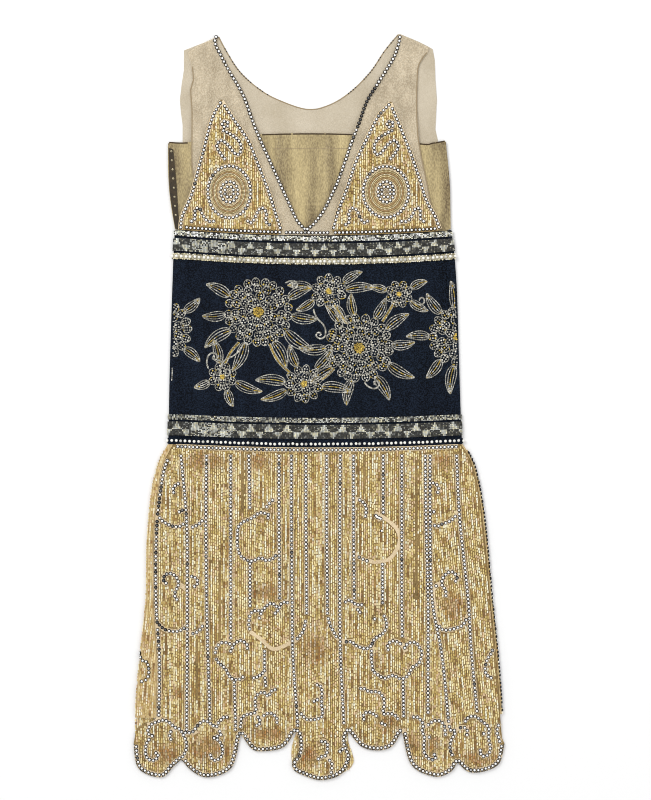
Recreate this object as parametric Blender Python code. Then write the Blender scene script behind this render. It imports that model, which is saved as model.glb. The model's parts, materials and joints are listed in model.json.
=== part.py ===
"""A sleeveless beaded evening gown of the 1920s, laid flat on its back.

The cloth is drafted in whole millimetres as a tailor would: x runs from the centre line to the
right as seen from above, and drop runs from the shoulders down to the hem. Every piece is one
closed wall of cloth. The back pieces lie on the table at z = 0 and the front pieces lie on them.
"""

import math

import bmesh
import bpy
from mathutils import Vector
from mathutils.geometry import delaunay_2d_cdt
from mathutils.kdtree import KDTree

MM = 0.001

# Whole gown
LENGTH = 1083

# Cloth thicknesses and the gaps between pieces
CHIFFON = 1.0
SILK = 1.0
CREPE = 1.2
BEADED = 1.6
TRIM = 1.0
SEAM_GAP = 0.3
LAYER_GAP = 0.3
SOFT_GAP = 0.55

# Radius of the side folds, where the back pieces turn over to the front
BAND_FOLD = 2.0
SKIRT_FOLD = 2.6
# Stations round such a fold, from the front to the table
BEND_SHARES = (1.0, 0.75, 0.5, 0.25, 0.0)

# Stones are set in lines that stand proud of the cloth
STONE_RISE = 1.5
STONE_FOOT = 3.2
EDGE_TO_STONES = 4.6
NECK_TO_STONES = 2.4

# Width of the strips of large white beads at both edges of the band
BEAD_STRIP = 9.0

# Underside of each front layer
GOLD_BACK_BASE = CHIFFON + LAYER_GAP
GOLD_FRONT_BASE = GOLD_BACK_BASE + SILK + LAYER_GAP
BAND_FRONT_BASE = 2 * BAND_FOLD - CREPE
SKIRT_FRONT_BASE = 2 * SKIRT_FOLD - BEADED
HEM_REST = BEADED + 0.5

# The waist band dips a little in the middle, at its top and at its bottom edge
BAND_TOP = 285.0
BAND_TOP_SAG = 8.0
BAND_BOTTOM = 595.5
BAND_BOTTOM_SAG = 5.0
BAND_HALF_WIDTH = 200.0

# Side folds of the gown: drop, left x, right x
BAND_SIDES = (
    (285, -209, 192),
    (316, -211, 196),
    (370, -213, 200),
    (430, -215, 202),
    (500, -217, 204),
    (560, -218, 206),
    (601, -219, 208),
)
SKIRT_SIDES = (
    (595, -219, 208),
    (618, -231, 222),
    (650, -240, 231),
    (683, -245, 237),
    (734, -249, 243),
    (821, -251, 251),
    (879, -257, 257),
    (937, -263, 262),
    (995, -267, 266),
    (1040, -269.5, 269.5),
    (1083, -269.5, 269.5),
)
# Side seams, on the front of the gown: drop, x
BAND_SEAM_LEFT = ((285, -190), (400, -189), (502, -198), (552, -200), (601, -203))
BAND_SEAM_RIGHT = ((285, 184), (368, 185), (413, 189), (535, 196), (601, 199))
SKIRT_SEAM_LEFT = ((595, -211), (625, -226), (661, -233), (719, -239), (821, -240), (908, -235),
(992, -236))
LEFT_SLIT = 992
RIGHT_SLIT = 987

# Front and back hem lobes: left notch, left side, bottom, right side, right notch, each x and drop
HEM_LOBES = (
    ((-269, 1030), (-262, 1066), (-229, 1079), (-211, 1063), (-201, 1054)),
    ((-199, 1054), (-184, 1070), (-161, 1079), (-127, 1065), (-114, 1017)),
    ((-112, 1018), (-97, 1038), (-78, 1041), (-51, 1035), (-35.5, 1013)),
    ((-31, 1014), (-29, 1031), (-31, 1045), (-39, 1057), (-36, 1069), (-20, 1077), (2, 1083),
     (26, 1078), (39, 1067), (46, 1049), (42, 1036), (39, 1026), (42, 1012)),
    ((44, 1014), (61, 1034), (84, 1040), (106, 1034), (119, 1013)),
    ((121, 1014), (134, 1061), (168, 1078), (191, 1071), (200, 1058)),
    ((202, 1058), (217, 1071), (241, 1070), (262, 1058), (269, 1030)),
)
# The middle lobe has a narrow stem in front, where the back's wider one shows beside it
CENTRE_LOBE = 3
BACK_CENTRE_LOBE = ((-33, 1014), (-39, 1034), (-40, 1050), (-36, 1067), (-20, 1075), (2, 1081), (26, 1076),
                    (44, 1067), (50, 1056), (48, 1044), (43, 1030), (42, 1013))
BACK_LOBE_SHORTER = 4.0

# Soft folds of each layer: x, top drop, bottom drop, width, height
GOLD_FOLDS = (
    (-160, 165, 278, 44, 1.3),
    (-45, 150, 282, 50, 1.4),
    (20, 150, 282, 44, 1.5),
    (140, 168, 278, 40, 1.2),
)
BAND_FOLDS = (
    (-165, 305, 588, 44, 1.8),
    (-95, 330, 575, 60, 1.3),
    (-45, 300, 590, 46, 1.8),
    (55, 320, 570, 70, 1.5),
    (150, 305, 585, 46, 2.0),
)
SKIRT_FOLDS = (
    (-196, 612, 790, 40, 2.4),
    (-172, 760, 1000, 54, 2.2),
    (-104, 612, 960, 50, 2.4),
    (-50, 700, 1010, 56, 2.0),
    (12, 612, 1010, 70, 2.6),
    (78, 640, 940, 56, 2.2),
    (138, 612, 1000, 60, 2.6),
    (205, 640, 1010, 60, 2.4),
)

# Lines of stones down the skirt: first drop, last drop, then x at each station
STATIONS = (603, 705, 821, 900, 1000)
STONE_LINES = (
    (610, 1012, -201, -192, -191, -191, -192),
    (610, 996, -163, -164, -163, -161, -158),
    (610, 879, -128, -128, -128, -128, -128),
    (938, 1012, -124, -124, -124, -124, -121),
    (610, 690, -102, -100, -100, -100, -100),
    (766, 832, -100, -100, -100, -100, -100),
    (610, 821, -58, -58, -57, -57, -57),
    (610, 1006, -40, -40, -39, -38, -31),
    (610, 843, -19, -19, -18, -18, -18),
    (610, 843, 11, 11, 12, 12, 12),
    (610, 1002, 31, 30, 30, 31, 36),
    (610, 821, 50, 50, 51, 51, 51),
    (610, 697, 93, 93, 93, 93, 93),
    (767, 828, 93, 92, 92, 92, 92),
    (610, 876, 120, 120, 120, 121, 121),
    (938, 992, 120, 120, 120, 121, 123),
    (610, 987, 154, 155, 158, 158, 158),
    (610, 1000, 161, 161, 164, 178, 188),
    (610, 985, 199, 204, 216, 221, 231),
)

# Scrolls of stones on the skirt, each drafted on squared paper as a curve through these points:
# squares from the centre line, squares down from the shoulders
SQUARE = 1.45
SCROLLS = (
    # Left, upper and lower circle
    ((-144.5, 460.5), (-146, 456), (-143, 451.5), (-138, 450), (-134, 453), (-132.5, 458)),
    ((-133, 473), (-137, 477), (-141, 479)),
    ((-160.5, 483), (-158, 486), (-155, 488.5), (-147, 492.5), (-140, 493), (-134, 489.5)),
    ((-132, 493), (-128, 494), (-121.5, 491.5), (-118.5, 489), (-113, 483)),
    ((-151, 549.5), (-154, 549.5), (-155.5, 546), (-154.5, 542.5), (-151, 540), (-146.5, 540.5),
     (-143, 543.5),
     (-141, 547), (-140.5, 551), (-142, 555), (-144, 559), (-144, 563), (-141, 567.5)),
    ((-140.5, 551), (-136, 553), (-132.5, 556)),
    ((-129, 543), (-125.5, 543), (-122.5, 545.5), (-121, 548), (-122.5, 551.5), (-126, 553.5)),
    ((-161, 590), (-155, 595.5), (-149, 597.5), (-144, 598), (-139, 597), (-134, 594), (-131.5, 590)),
    ((-132, 599), (-127, 600), (-123, 599), (-119.5, 596.5), (-116, 592), (-112.5, 588)),
    # Left of the middle, the large loop and the curls below it
    ((-40.5, 465), (-44, 466), (-47, 467), (-50, 470.5), (-53.5, 475)),
    ((-52, 486), (-50, 482), (-53, 480), (-60, 479.5), (-66, 484), (-74, 487.5), (-78, 490), (-81, 495),
     (-81.5, 504), (-81.5, 512), (-79.5, 520), (-75, 525), (-67, 527.5), (-59, 524.5), (-52, 527),
     (-45, 524),
     (-40, 517.5)),
    ((-66, 577.5), (-62, 577), (-57, 577), (-53, 573), (-50, 570.5), (-46, 570), (-41, 574)),
    ((-66, 577.5), (-69, 581), (-70, 588), (-70, 593), (-68.5, 597)),
    ((-59, 578), (-58, 581), (-59.5, 584.5), (-62, 584)),
    ((-45, 581), (-42, 578), (-40, 575), (-38.5, 571), (-36, 569), (-32.5, 568), (-30, 570.5), (-27, 569)),
    ((-13.5, 586), (-14, 591), (-16, 598), (-18, 601), (-21, 604.5), (-27, 609), (-30, 610)),
    ((-104, 621), (-103.5, 617), (-102, 613), (-98, 609.5), (-94, 609), (-90, 609.5), (-88, 612)),
    ((-103.5, 624), (-101, 628.5), (-97, 632), (-93, 636), (-90.5, 641), (-88, 644.5), (-85, 646)),
    ((-89.5, 619), (-87, 615.5), (-86, 612), (-83, 609), (-79, 607), (-75, 608), (-71.5, 611.5),
     (-72, 616.5)),
    ((-85, 646), (-81, 646), (-77.5, 645), (-75, 642)),
    ((-67, 644.5), (-63, 644), (-60, 642.5), (-57, 640), (-55, 638.5)),
    ((-54.5, 616), (-54.5, 630), (-54, 645), (-53, 654)),
    # Right of the middle
    ((9, 583), (10.5, 590), (13, 595), (16, 601), (18.5, 604), (23, 607), (29, 608.5), (33, 608),
     (35.5, 611),
     (39, 613), (46, 615), (50, 614), (53, 611)),
    ((35, 466), (38, 466), (42, 467), (45, 470), (47, 473.5), (47, 480), (46, 484.5)),
    ((57, 482), (60, 485.5), (63.5, 484)),
    ((35, 520), (38, 522.5), (43, 525), (46.5, 527), (50, 527.5)),
    ((25, 569.5), (28, 567.5), (31, 566.5), (34.5, 569.5), (37.5, 571), (41, 571.5), (44.5, 571)),
    ((37.5, 571), (38.5, 575), (40, 578), (42.5, 579.5)),
    ((54, 584.5), (57, 586)),
    ((64, 581), (66, 584), (67.5, 590), (67, 595), (63, 600.5), (59, 603), (56, 605), (53.5, 609),
     (52.5, 618),
     (52.5, 626), (53.5, 634), (54, 638)),
    ((85, 616), (87, 611.5), (91, 609), (95, 608.5), (98, 610), (100.5, 614), (102.5, 618), (102.5, 622),
     (100, 629), (96, 632), (93, 634), (89.5, 641), (86, 644), (82, 645.5), (74, 642), (66.5, 644.5),
     (62, 643.5), (58, 640.5), (54, 638)),
    ((70, 618), (68.5, 614), (70, 609.5), (73, 607.5), (77.5, 608), (82, 610.5), (85, 614), (87, 618)),
    # Right
    ((108.5, 452), (112, 450), (114.5, 449.5), (117.5, 451), (119.5, 454), (119.5, 457.5), (117.5, 460.5)),
    ((109, 472), (111, 476), (113, 478), (116.5, 478.5)),
    ((110, 492), (114, 491.5), (118, 493), (122, 491), (130, 488), (133.5, 485.5), (136.5, 482.5),
     (139.5, 478)),
    ((135, 548.5), (138, 546), (137, 541.5), (132.5, 538), (129, 539), (126, 541.5), (124, 544.5),
     (122.5, 550),
     (124.5, 553.5), (126.5, 557), (127, 560), (126.5, 564)),
    ((122.5, 550.5), (119, 551), (116, 553.5), (114, 556), (113.5, 560), (114, 566), (115, 571), (116, 577),
     (116, 583), (118, 589.5), (122, 595), (126, 596.5), (131, 596), (135, 595), (142, 592.5), (145, 589.5),
     (149.5, 581)),
    ((174, 615), (172, 620), (169, 624.5), (167, 630), (166, 635.5), (167, 640), (170, 643.5),
     (174, 644.5)),
    # Hem, from the left lobe to the right one
    ((-165, 703), (-170, 701), (-171, 696), (-167, 690.5), (-161, 688), (-155, 686.5), (-149, 689.5),
     (-144, 694), (-139, 696), (-135.5, 702), (-133, 708), (-132.5, 714), (-134.5, 720), (-137.5, 725)),
    ((-169, 705), (-172, 709), (-173.5, 715), (-173.5, 720), (-171.5, 725), (-166, 727), (-161.5, 724),
     (-161.5, 720), (-165, 719.5)),
    ((-143, 695.5), (-147, 697), (-149, 700), (-149, 705), (-146.5, 707)),
    ((-139, 697), (-132, 699.5), (-126, 698), (-123.5, 695), (-120, 690.5), (-116, 687.5), (-112, 687.5),
     (-108, 690.5), (-103, 693.5), (-101, 690), (-98.5, 687), (-96, 684), (-93, 683), (-90.5, 685)),
    ((-123, 700.5), (-125, 697)),
    ((-103, 693.5), (-100, 697), (-98, 701), (-102, 703), (-105, 704.5), (-102, 706), (-98.5, 709.5),
     (-97, 713), (-96.5, 718), (-98, 723.5), (-104, 727), (-109, 723), (-107, 720.5)),
    ((-79, 695), (-78, 690), (-78, 686), (-76, 683), (-72, 681), (-65, 679.5), (-63, 677), (-64, 670),
     (-63, 663), (-61, 660.5), (-58, 659), (-55, 659), (-52, 661.5), (-51, 665), (-49.5, 661), (-47, 657),
     (-42, 655.5)),
    ((-65, 680), (-61.5, 683), (-59.5, 686), (-59, 689), (-61, 692), (-64, 691.5)),
    ((-59.5, 686), (-55, 682), (-52, 680), (-49, 679.5), (-46, 680.5), (-43, 683.5), (-41.5, 687),
     (-43, 690.5)),
    ((-3.5, 652), (-1, 651), (2, 653), (3, 660), (2.5, 670), (3.5, 677), (3.5, 681), (2, 684), (-4, 686),
     (-11, 686), (-14, 684.5), (-19, 679)),
    ((2.5, 663), (0, 665.5), (-4, 667), (-6, 669)),
    ((1, 709), (4, 707.5), (7, 709), (8.5, 711), (8.5, 715), (7, 722), (2, 723.5), (-2, 727)),
    ((7, 722), (10, 726), (13, 731), (12.5, 737), (12, 741)),
    ((25, 715), (22, 716.5), (20, 719.5)),
    ((40, 656), (43, 654.5), (46, 655.5), (50, 658), (56, 658), (60, 659), (63, 662), (65, 666), (65, 673),
     (64, 680), (70, 680), (75, 681), (78, 684), (79.5, 687)),
    ((46, 687), (44, 684), (45, 681), (48, 678.5), (52, 679), (55, 681), (59, 683.5)),
    ((62, 688), (64, 691), (68, 691.5)),
    ((93, 684.5), (96, 683), (99, 684), (102, 687), (104, 690.5), (104, 694), (103, 698), (104.5, 701),
     (105.5, 705), (105, 710), (105, 716), (105.5, 720), (108, 723.5), (111, 726), (115, 726), (117, 723),
     (114, 720)),
    ((104, 694), (107.5, 692), (111, 690.5), (113, 688), (119, 687), (123, 689), (125.5, 693),
     (126.5, 703)),
    ((105.5, 705.5), (109, 704), (112, 703.5)),
    ((128, 684), (130, 692), (132, 697), (136, 697), (135, 702), (133, 705), (131.5, 709), (131, 714),
     (132, 719), (134, 723)),
    ((136, 697), (140, 694.5), (144, 694), (147.5, 695), (148.5, 700), (147, 703)),
    ((146, 689.5), (146.5, 687), (148, 685), (151, 683), (157, 683), (161, 686.5), (164, 688.5), (168, 692),
     (170, 696), (169.5, 702), (170, 707), (171.5, 715), (170, 720), (167, 722.5), (163.5, 722.5),
     (160.5, 718), (163, 716)),
    ((163, 700), (166, 700.5), (169.5, 702)),
    ((180.5, 690), (178.5, 694), (178, 699), (180, 705), (181, 710)),
)

# Pointed beaded panels of the bodice: the edges from the apex down to the band, x and drop
POINTS = {
    "beaded_point_left": {
        "left": ((-143, 96), (-155, 117), (-164, 146), (-170, 172), (-178, 200), (-185, 228), (-194, 250),
                 (-201, 266), (-203, 284)),
        "right": ((-140, 96), (-122, 123), (-101, 154), (-86, 189), (-71, 228), (-61, 259), (-53, 284)),
        "medallion": (-130, 230),
        "rings": ((31, 37.5), (12.5, 15)),
        "mirror": 1,
    },
    "beaded_point_right": {
        "left": ((102, 99), (84, 119), (68, 150), (51, 186), (39, 222), (26, 256), (18, 284)),
        "right": ((105, 99), (111, 114), (124, 145), (136, 176), (147, 208), (158, 242), (170, 264),
                  (177, 283)),
        "medallion": (97, 230),
        "rings": ((33, 37), (11.5, 15)),
        "mirror": -1,
    },
}
# Their scrolls of stones, from the middle of the medallion and mirrored on the right
POINT_SCROLLS = (
    ((-11, -90), (-3, -86), (6, -81), (13, -75), (17, -67), (16, -57), (11, -54), (5, -59), (-1, -67),
     (-8, -73),
     (-14, -74), (-18, -66), (-15, -59), (-11, -53), (-5, -46)),
    ((-57, 44), (-50, 39), (-50, 29), (-48, 24), (-43, 24), (-39, 32), (-34, 40), (-28, 43), (-20, 42)),
    ((25, 40), (30, 45), (36, 40), (41, 29), (45, 24), (50, 24), (54, 32), (53, 40), (55, 46), (61, 48)),
)

# Woven trims on the band: name, top or bottom edge of the band, near and far offset from it, crown
TRIMS = (
    ("trim_top_narrow", "top", 0.6, 9.0, 0.0),
    ("trim_top_wide", "top", 11.4, 30.6, 0.0),
    ("trim_top_beads", "top", 33.2, 33.2 + BEAD_STRIP, 1.4),
    ("trim_low_narrow", "bottom", 35.4, 43.4, 0.0),
    ("trim_low_wide", "bottom", 12.4, 33.2, 0.0),
    ("trim_low_beads", "bottom", 0.6, 0.6 + BEAD_STRIP, 1.4),
)

# Names, colours as sRGB, roughness and metallic value of the materials
FINISHES = {
    "chiffon": ((0.86, 0.80, 0.69), 0.75, 0.0),
    "gold_silk": ((0.62, 0.53, 0.34), 0.45, 0.0),
    "navy_crepe": ((0.07, 0.09, 0.15), 0.80, 0.0),
    "bugle_beads": ((0.78, 0.66, 0.42), 0.30, 0.3),
    "beaded_mesh_back": ((0.80, 0.72, 0.52), 0.45, 0.2),
    "metal_trim": ((0.62, 0.61, 0.53), 0.40, 0.5),
    "bead_trim": ((0.88, 0.88, 0.84), 0.25, 0.1),
    "dark_placket": ((0.22, 0.17, 0.11), 0.70, 0.0),
}


def clear_scene():
    for obj in list(bpy.data.objects):
        bpy.data.objects.remove(obj)


def material(name):
    """A Principled material of this finish, made once."""
    found = bpy.data.materials.get(name)
    if found:
        return found
    colour, roughness, metallic = FINISHES[name]
    made = bpy.data.materials.new(name)
    made.use_nodes = True
    shader = made.node_tree.nodes["Principled BSDF"]
    linear = [channel ** 2.2 for channel in colour]
    shader.inputs["Base Color"].default_value = (*linear, 1.0)
    shader.inputs["Roughness"].default_value = roughness
    shader.inputs["Metallic"].default_value = metallic
    return made


def smooth_step(t):
    t = min(1.0, max(0.0, t))
    return t * t * (3 - 2 * t)


def along(table, at, column=1):
    """Reads a column of a table at this drop, on a smooth curve through its rows."""
    rows = len(table)
    if at <= table[0][0]:
        return table[0][column]
    if at >= table[-1][0]:
        return table[-1][column]
    row = max(i for i in range(rows - 1) if table[i][0] <= at)

    def slope(i):
        first, last = max(0, i - 1), min(rows - 1, i + 1)
        return (table[last][column] - table[first][column]) / (table[last][0] - table[first][0])

    span = table[row + 1][0] - table[row][0]
    t = (at - table[row][0]) / span
    start, end = table[row][column], table[row + 1][column]
    return (
        (2 * t**3 - 3 * t**2 + 1) * start
        + (t**3 - 2 * t**2 + t) * span * slope(row)
        + (3 * t**2 - 2 * t**3) * end
        + (t**3 - t**2) * span * slope(row + 1)
    )


def curve(points, step):
    """Points every step or so along a Catmull-Rom curve through these points."""
    points = [Vector(point) for point in points]
    made = [points[0]]
    for i in range(len(points) - 1):
        before = points[max(0, i - 1)]
        start, end = points[i], points[i + 1]
        after = points[min(len(points) - 1, i + 2)]
        pieces = max(1, round((end - start).length / step))
        for piece in range(1, pieces + 1):
            t = piece / pieces
            made.append(
                0.5
                * (
                    2 * start
                    + (end - before) * t
                    + (2 * before - 5 * start + 4 * end - after) * t * t
                    + (3 * start - before - 3 * end + after) * t**3
                )
            )
    return made


def steps(first, last, step):
    """Evenly spaced values from first to last, about step apart."""
    count = max(1, round(abs(last - first) / step))
    return [first + (last - first) * i / count for i in range(count + 1)]


def band_top(x):
    return BAND_TOP + BAND_TOP_SAG * (1 - min(1.0, abs(x) / BAND_HALF_WIDTH) ** 2)


def band_bottom(x):
    return BAND_BOTTOM + BAND_BOTTOM_SAG * (1 - min(1.0, abs(x) / BAND_HALF_WIDTH) ** 2)


def swell(folds, x, drop):
    """Height of the soft folds at this place."""
    height = 0.0
    for fold_x, top, bottom, width, rise in folds:
        across = abs(x - fold_x) / (width / 2)
        down = (drop - top) / (bottom - top)
        if across < 1 and 0 < down < 1:
            ends = smooth_step(min(down, 1 - down) / 0.25)
            height += rise * ends * math.cos(across * math.pi / 2) ** 2
    return height


def gold_base(x, drop):
    return GOLD_FRONT_BASE + swell(GOLD_FOLDS, x, drop)


def chiffon_base(x, drop):
    """The front chiffon lies on the gold silk, and above its edge it sinks to the back."""
    over_gold = gold_base(x, drop) + SILK + SOFT_GAP
    over_back = CHIFFON + SOFT_GAP
    return over_back + (over_gold - over_back) * smooth_step((drop - 108) / 32)


def band_base(x, drop):
    return BAND_FRONT_BASE + swell(BAND_FOLDS, x, drop)


def skirt_base(x, drop):
    """The front of the skirt sinks on to the back towards its free hem."""
    rest = smooth_step((drop - 985) / 45)
    return SKIRT_FRONT_BASE + (HEM_REST - SKIRT_FRONT_BASE) * rest + swell(SKIRT_FOLDS, x, drop)


def spaced(line, step):
    """The line again, with its points about step apart."""
    walked = [0.0]
    for i in range(1, len(line)):
        walked.append(walked[-1] + (line[i] - line[i - 1]).length)
    points = []
    i = 0
    for at in steps(0.0, walked[-1], step):
        while i < len(line) - 2 and walked[i + 1] < at:
            i += 1
        share = (at - walked[i]) / max(walked[i + 1] - walked[i], 1e-9)
        points.append(line[i].lerp(line[i + 1], min(share, 1.0)))
    return points


def ring(x, drop, width, height, count):
    """A closed oval of points."""
    turns = [2 * math.pi * i / count for i in range(count + 1)]
    return [Vector((x + width * math.cos(a), drop + height * math.sin(a))) for a in turns]


def inside(point, outline):
    """True where the point is within the closed outline."""
    found = False
    x, y = point
    for i, (x1, y1) in enumerate(outline):
        x2, y2 = outline[i - 1]
        if (y1 > y) != (y2 > y) and x < (x2 - x1) * (y - y1) / (y2 - y1) + x1:
            found = not found
    return found


def to_segment(point, start, end):
    """Distance from a point to a straight piece of a line."""
    run = end - start
    t = max(0.0, min(1.0, (point - start).dot(run) / max(run.length_squared, 1e-9)))
    return (point - start - run * t).length


class Segments:
    """Straight pieces of several lines, found by place."""

    def __init__(self, lines):
        self.pieces = [(line[i], line[i + 1]) for line in lines for i in range(len(line) - 1)]
        self.longest = max([(end - start).length for start, end in self.pieces], default=0.0)
        self.tree = KDTree(len(self.pieces))
        for i, (start, end) in enumerate(self.pieces):
            middle = (start + end) / 2
            self.tree.insert((middle.x, middle.y, 0), i)
        self.tree.balance()

    def distance(self, point, reach):
        near = self.tree.find_range((point.x, point.y, 0), reach + self.longest)
        found = [to_segment(point, *self.pieces[i]) for _, i, _ in near]
        return min(found, default=reach)


def beside(line, offset):
    """The line moved sideways by the offset."""
    moved = []
    for i, point in enumerate(line):
        run = line[min(len(line) - 1, i + 1)] - line[max(0, i - 1)]
        side = Vector((-run.y, run.x)).normalized()
        moved.append(point + side * offset)
    return moved


def triangulate(outline, spacing, ridges=(), creases=(), offsets=(-STONE_FOOT, 0.0, STONE_FOOT)):
    """Plan points and triangles of a piece: its outline, a grid, ridge lines and creases.
    The grid is closer across the cloth than down it, because its folds run down."""
    across, down = spacing
    rim = [Vector(point) for point in outline]
    closed_rim = Segments([[*rim, rim[0]]])
    points = list(rim)
    edges = []

    def add_line(line, clear):
        last = None
        for point in line:
            if clear and (not inside(point, rim) or closed_rim.distance(point, clear) < clear):
                last = None
                continue
            points.append(point)
            if last is not None:
                edges.append((last, len(points) - 1))
            last = len(points) - 1

    for line in ridges:
        for offset in offsets:
            add_line(beside(line, offset), 1.0)
    for line in creases:
        add_line(line, 0.0)
    drawn = Segments([*ridges, *creases]) if ridges or creases else None
    low_x, high_x = min(p.x for p in rim), max(p.x for p in rim)
    low_y, high_y = min(p.y for p in rim), max(p.y for p in rim)
    for row, y in enumerate(steps(low_y, high_y, down)):
        for x in steps(low_x + (row % 2) * across / 2, high_x, across):
            place = Vector((x, y))
            if not inside(place, rim) or closed_rim.distance(place, across) < across * 0.45:
                continue
            if drawn and drawn.distance(place, across) < max(across * 0.5, STONE_FOOT + 3):
                continue
            points.append(place)
    result = delaunay_2d_cdt(points, edges, [list(range(len(rim)))], 1, 0.02)
    plan, _, faces, origins = result[:4]
    where = {source: i for i, sources in enumerate(origins) for source in sources}
    kept = []
    for face in faces:
        middle = sum((Vector(plan[i]) for i in face), Vector((0, 0))) / 3
        if inside(middle, rim):
            kept.append(tuple(face))
    return plan, kept, [where[i] for i in range(len(rim))]


def wall(name, finish, outline, place, spacing, inner_spacing=None, ridges=(), creases=(), crown=0.0):
    """One closed wall of cloth. place(x, drop, side, relief) gives a point on the outer (1) or inner
    (0) face. Ridges are raised on the outer face only, and creases run through both faces."""
    offsets = (0.0,) if crown else (-STONE_FOOT, 0.0, STONE_FOOT)
    outer = triangulate(outline, spacing, ridges, creases, offsets)
    inner = triangulate(outline, inner_spacing or spacing, (), creases)
    raised = Segments(ridges) if ridges else None
    height, foot = (crown, BEAD_STRIP / 2) if crown else (STONE_RISE, STONE_FOOT)
    shape = bmesh.new()
    rims = []
    for side, (plan, faces, rim) in ((1, outer), (0, inner)):
        made = []
        for spot in plan:
            relief = 0.0
            if side and raised:
                relief = height * max(0.0, 1 - raised.distance(Vector(spot), foot) / foot)
            made.append(shape.verts.new(place(spot[0], spot[1], side, relief) * MM))
        for face in faces:
            shape.faces.new([made[i] for i in face])
        rims.append([made[i] for i in rim])
    top, bottom = rims
    for i in range(len(top)):
        shape.faces.new((top[i - 1], top[i], bottom[i]))
        shape.faces.new((top[i - 1], bottom[i], bottom[i - 1]))
    loose = [vert for vert in shape.verts if not vert.link_faces]
    bmesh.ops.delete(shape, geom=loose, context="VERTS")
    bmesh.ops.recalc_face_normals(shape, faces=shape.faces)
    mesh = bpy.data.meshes.new(name)
    shape.to_mesh(mesh)
    shape.free()
    mesh.materials.append(material(finish))
    mesh.shade_smooth()
    mesh.set_sharp_from_angle(angle=math.radians(40))
    obj = bpy.data.objects.new(name, mesh)
    bpy.context.scene.collection.objects.link(obj)
    return obj


def flat(base, thickness):
    """Places a piece that lies in one layer, over base(x, drop)."""

    def place(x, drop, side, relief):
        return Vector((x, LENGTH / 2 - drop, base(x, drop) + side * (thickness + relief)))

    return place


def folded(sides, radius, thickness):
    """Places a back piece, which lies on the table and turns over to the front at its sides."""
    mid_radius = radius - thickness / 2

    def place(s, drop, side, relief):
        left, right = along(sides, drop, 1), along(sides, drop, 2)
        turn = -1 if s < 0 else 1
        start = left + radius if s < 0 else right - radius
        over = max(0.0, (s - start) * turn)
        angle = min(over / mid_radius, math.pi)
        depth = radius if side else radius - thickness
        back = max(0.0, over - math.pi * mid_radius)
        on_table = s if over == 0 else start
        x = on_table + turn * depth * math.sin(angle) - turn * back
        return Vector((x, LENGTH / 2 - drop, radius - depth * math.cos(angle)))

    return place


def bend_station(sides, radius, thickness, turn, drop, share):
    """Place across the cloth at this share of the side fold's bend, 0 on the table, 1 on top."""
    mid_radius = radius - thickness / 2
    start = along(sides, drop, 1) + radius if turn < 0 else along(sides, drop, 2) - radius
    return start + turn * math.pi * mid_radius * share


def make_bodice_back():
    """Back of chiffon, with a scooped neck and deep armholes."""
    neck = curve(((-145, 4), (-135, 23), (-115, 54), (-86, 80), (-57, 96), (-16, 109), (16, 102),
                  (45, 84), (74, 55), (95, 24), (114, 1)), 12)
    right = curve(((117, 0), (146, 12), (165, 22)), 12) + curve(((168, 38), (169, 67), (171, 96),
                  (169, 139), (173, 157), (181, 220), (186, 283)), 20)
    bottom = [Vector((x, band_top(x) - SEAM_GAP)) for x in steps(184, -203, 24)]
    left = curve(((-204, 284), (-200, 220), (-198, 157), (-198, 132), (-202, 96), (-196, 52)), 20)
    shoulder = curve(((-196, 24), (-173, 15), (-154, 8)), 12)
    outline = neck + right + bottom[1:-1] + left + shoulder
    return wall("bodice_back", "chiffon", outline, flat(lambda x, drop: 0.0, CHIFFON), (40, 40))


def make_bodice_front():
    """Front of chiffon, cut to a deep V, with a line of stones along the V."""
    v_left = curve(((-146, 3), (-149, 11), (-147, 18), (-142, 27), (-130, 50), (-109, 86), (-98, 115),
                    (-88, 142), (-66, 191), (-48, 231), (-29, 272), (-20, 282)), 9)
    v_right = curve(((-17, 283), (-14, 280), (2, 260), (15, 236), (28, 206), (44, 160), (57, 126), (67, 98),
                     (82, 73), (105, 36), (111, 21), (114, 11), (115, 2)), 9)
    right = curve(((119, 2), (132, 7), (146, 14), (160, 20)), 12) + curve(((157, 28), (146, 44),
                  (143, 70), (143, 132), (147, 168), (156, 212), (163, 248), (173, 282)), 12)
    bottom = [Vector((x, band_top(x) - SEAM_GAP)) for x in steps(174, -199, 16)]
    left = curve(((-198, 283), (-190, 252), (-182, 226), (-181, 214), (-185, 190), (-185, 117),
                  (-187, 81), (-183, 67), (-185, 48)), 12)
    shoulder = curve(((-190, 27), (-173, 16), (-156, 8)), 12)
    outline = v_left + v_right + right + bottom[1:-1] + left + shoulder
    ridges = [beside(v_left, NECK_TO_STONES)[:-1], beside(v_right, NECK_TO_STONES)[1:]]
    place = flat(chiffon_base, CHIFFON)
    return wall("bodice_front", "chiffon", outline, place, (15, 24), (15, 24), ridges)


def gold_outline(inset, top_drop, step):
    """Outline of the gold silk under-bodice, front or back."""
    right = curve(((184 - inset, 155), (185 - inset, 168), (188 - inset, 197), (190 - inset, 226),
                   (191 - inset, 283)), step)
    left = curve(((-209 + inset, 284), (-215 + inset, 248), (-218 + inset, 219), (-219 + inset, 190),
                  (-219 + inset, 157)), step)
    top = curve(((-217 + inset, 157), (-183, 157), (-86, 146), (55, 146), (146, 159), (165, 158),
                 (182 - inset, 155)), step)
    top = [Vector((point.x, point.y + top_drop)) for point in top]
    bottom = [Vector((x, band_top(x) - SEAM_GAP)) for x in steps(190 - inset, -208 + inset, step)]
    return top + right[1:] + bottom[1:-1] + left[:-1]


def make_under_bodice():
    """Gold silk under-bodice: a back, and a front with soft upright folds."""
    back = flat(lambda x, drop: GOLD_BACK_BASE, SILK)
    wall("under_bodice_back", "gold_silk", gold_outline(1.5, 2, 24), back, (60, 60))
    wall("under_bodice_front", "gold_silk", gold_outline(0, 0, 16), flat(gold_base, SILK), (12, 30))


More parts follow.
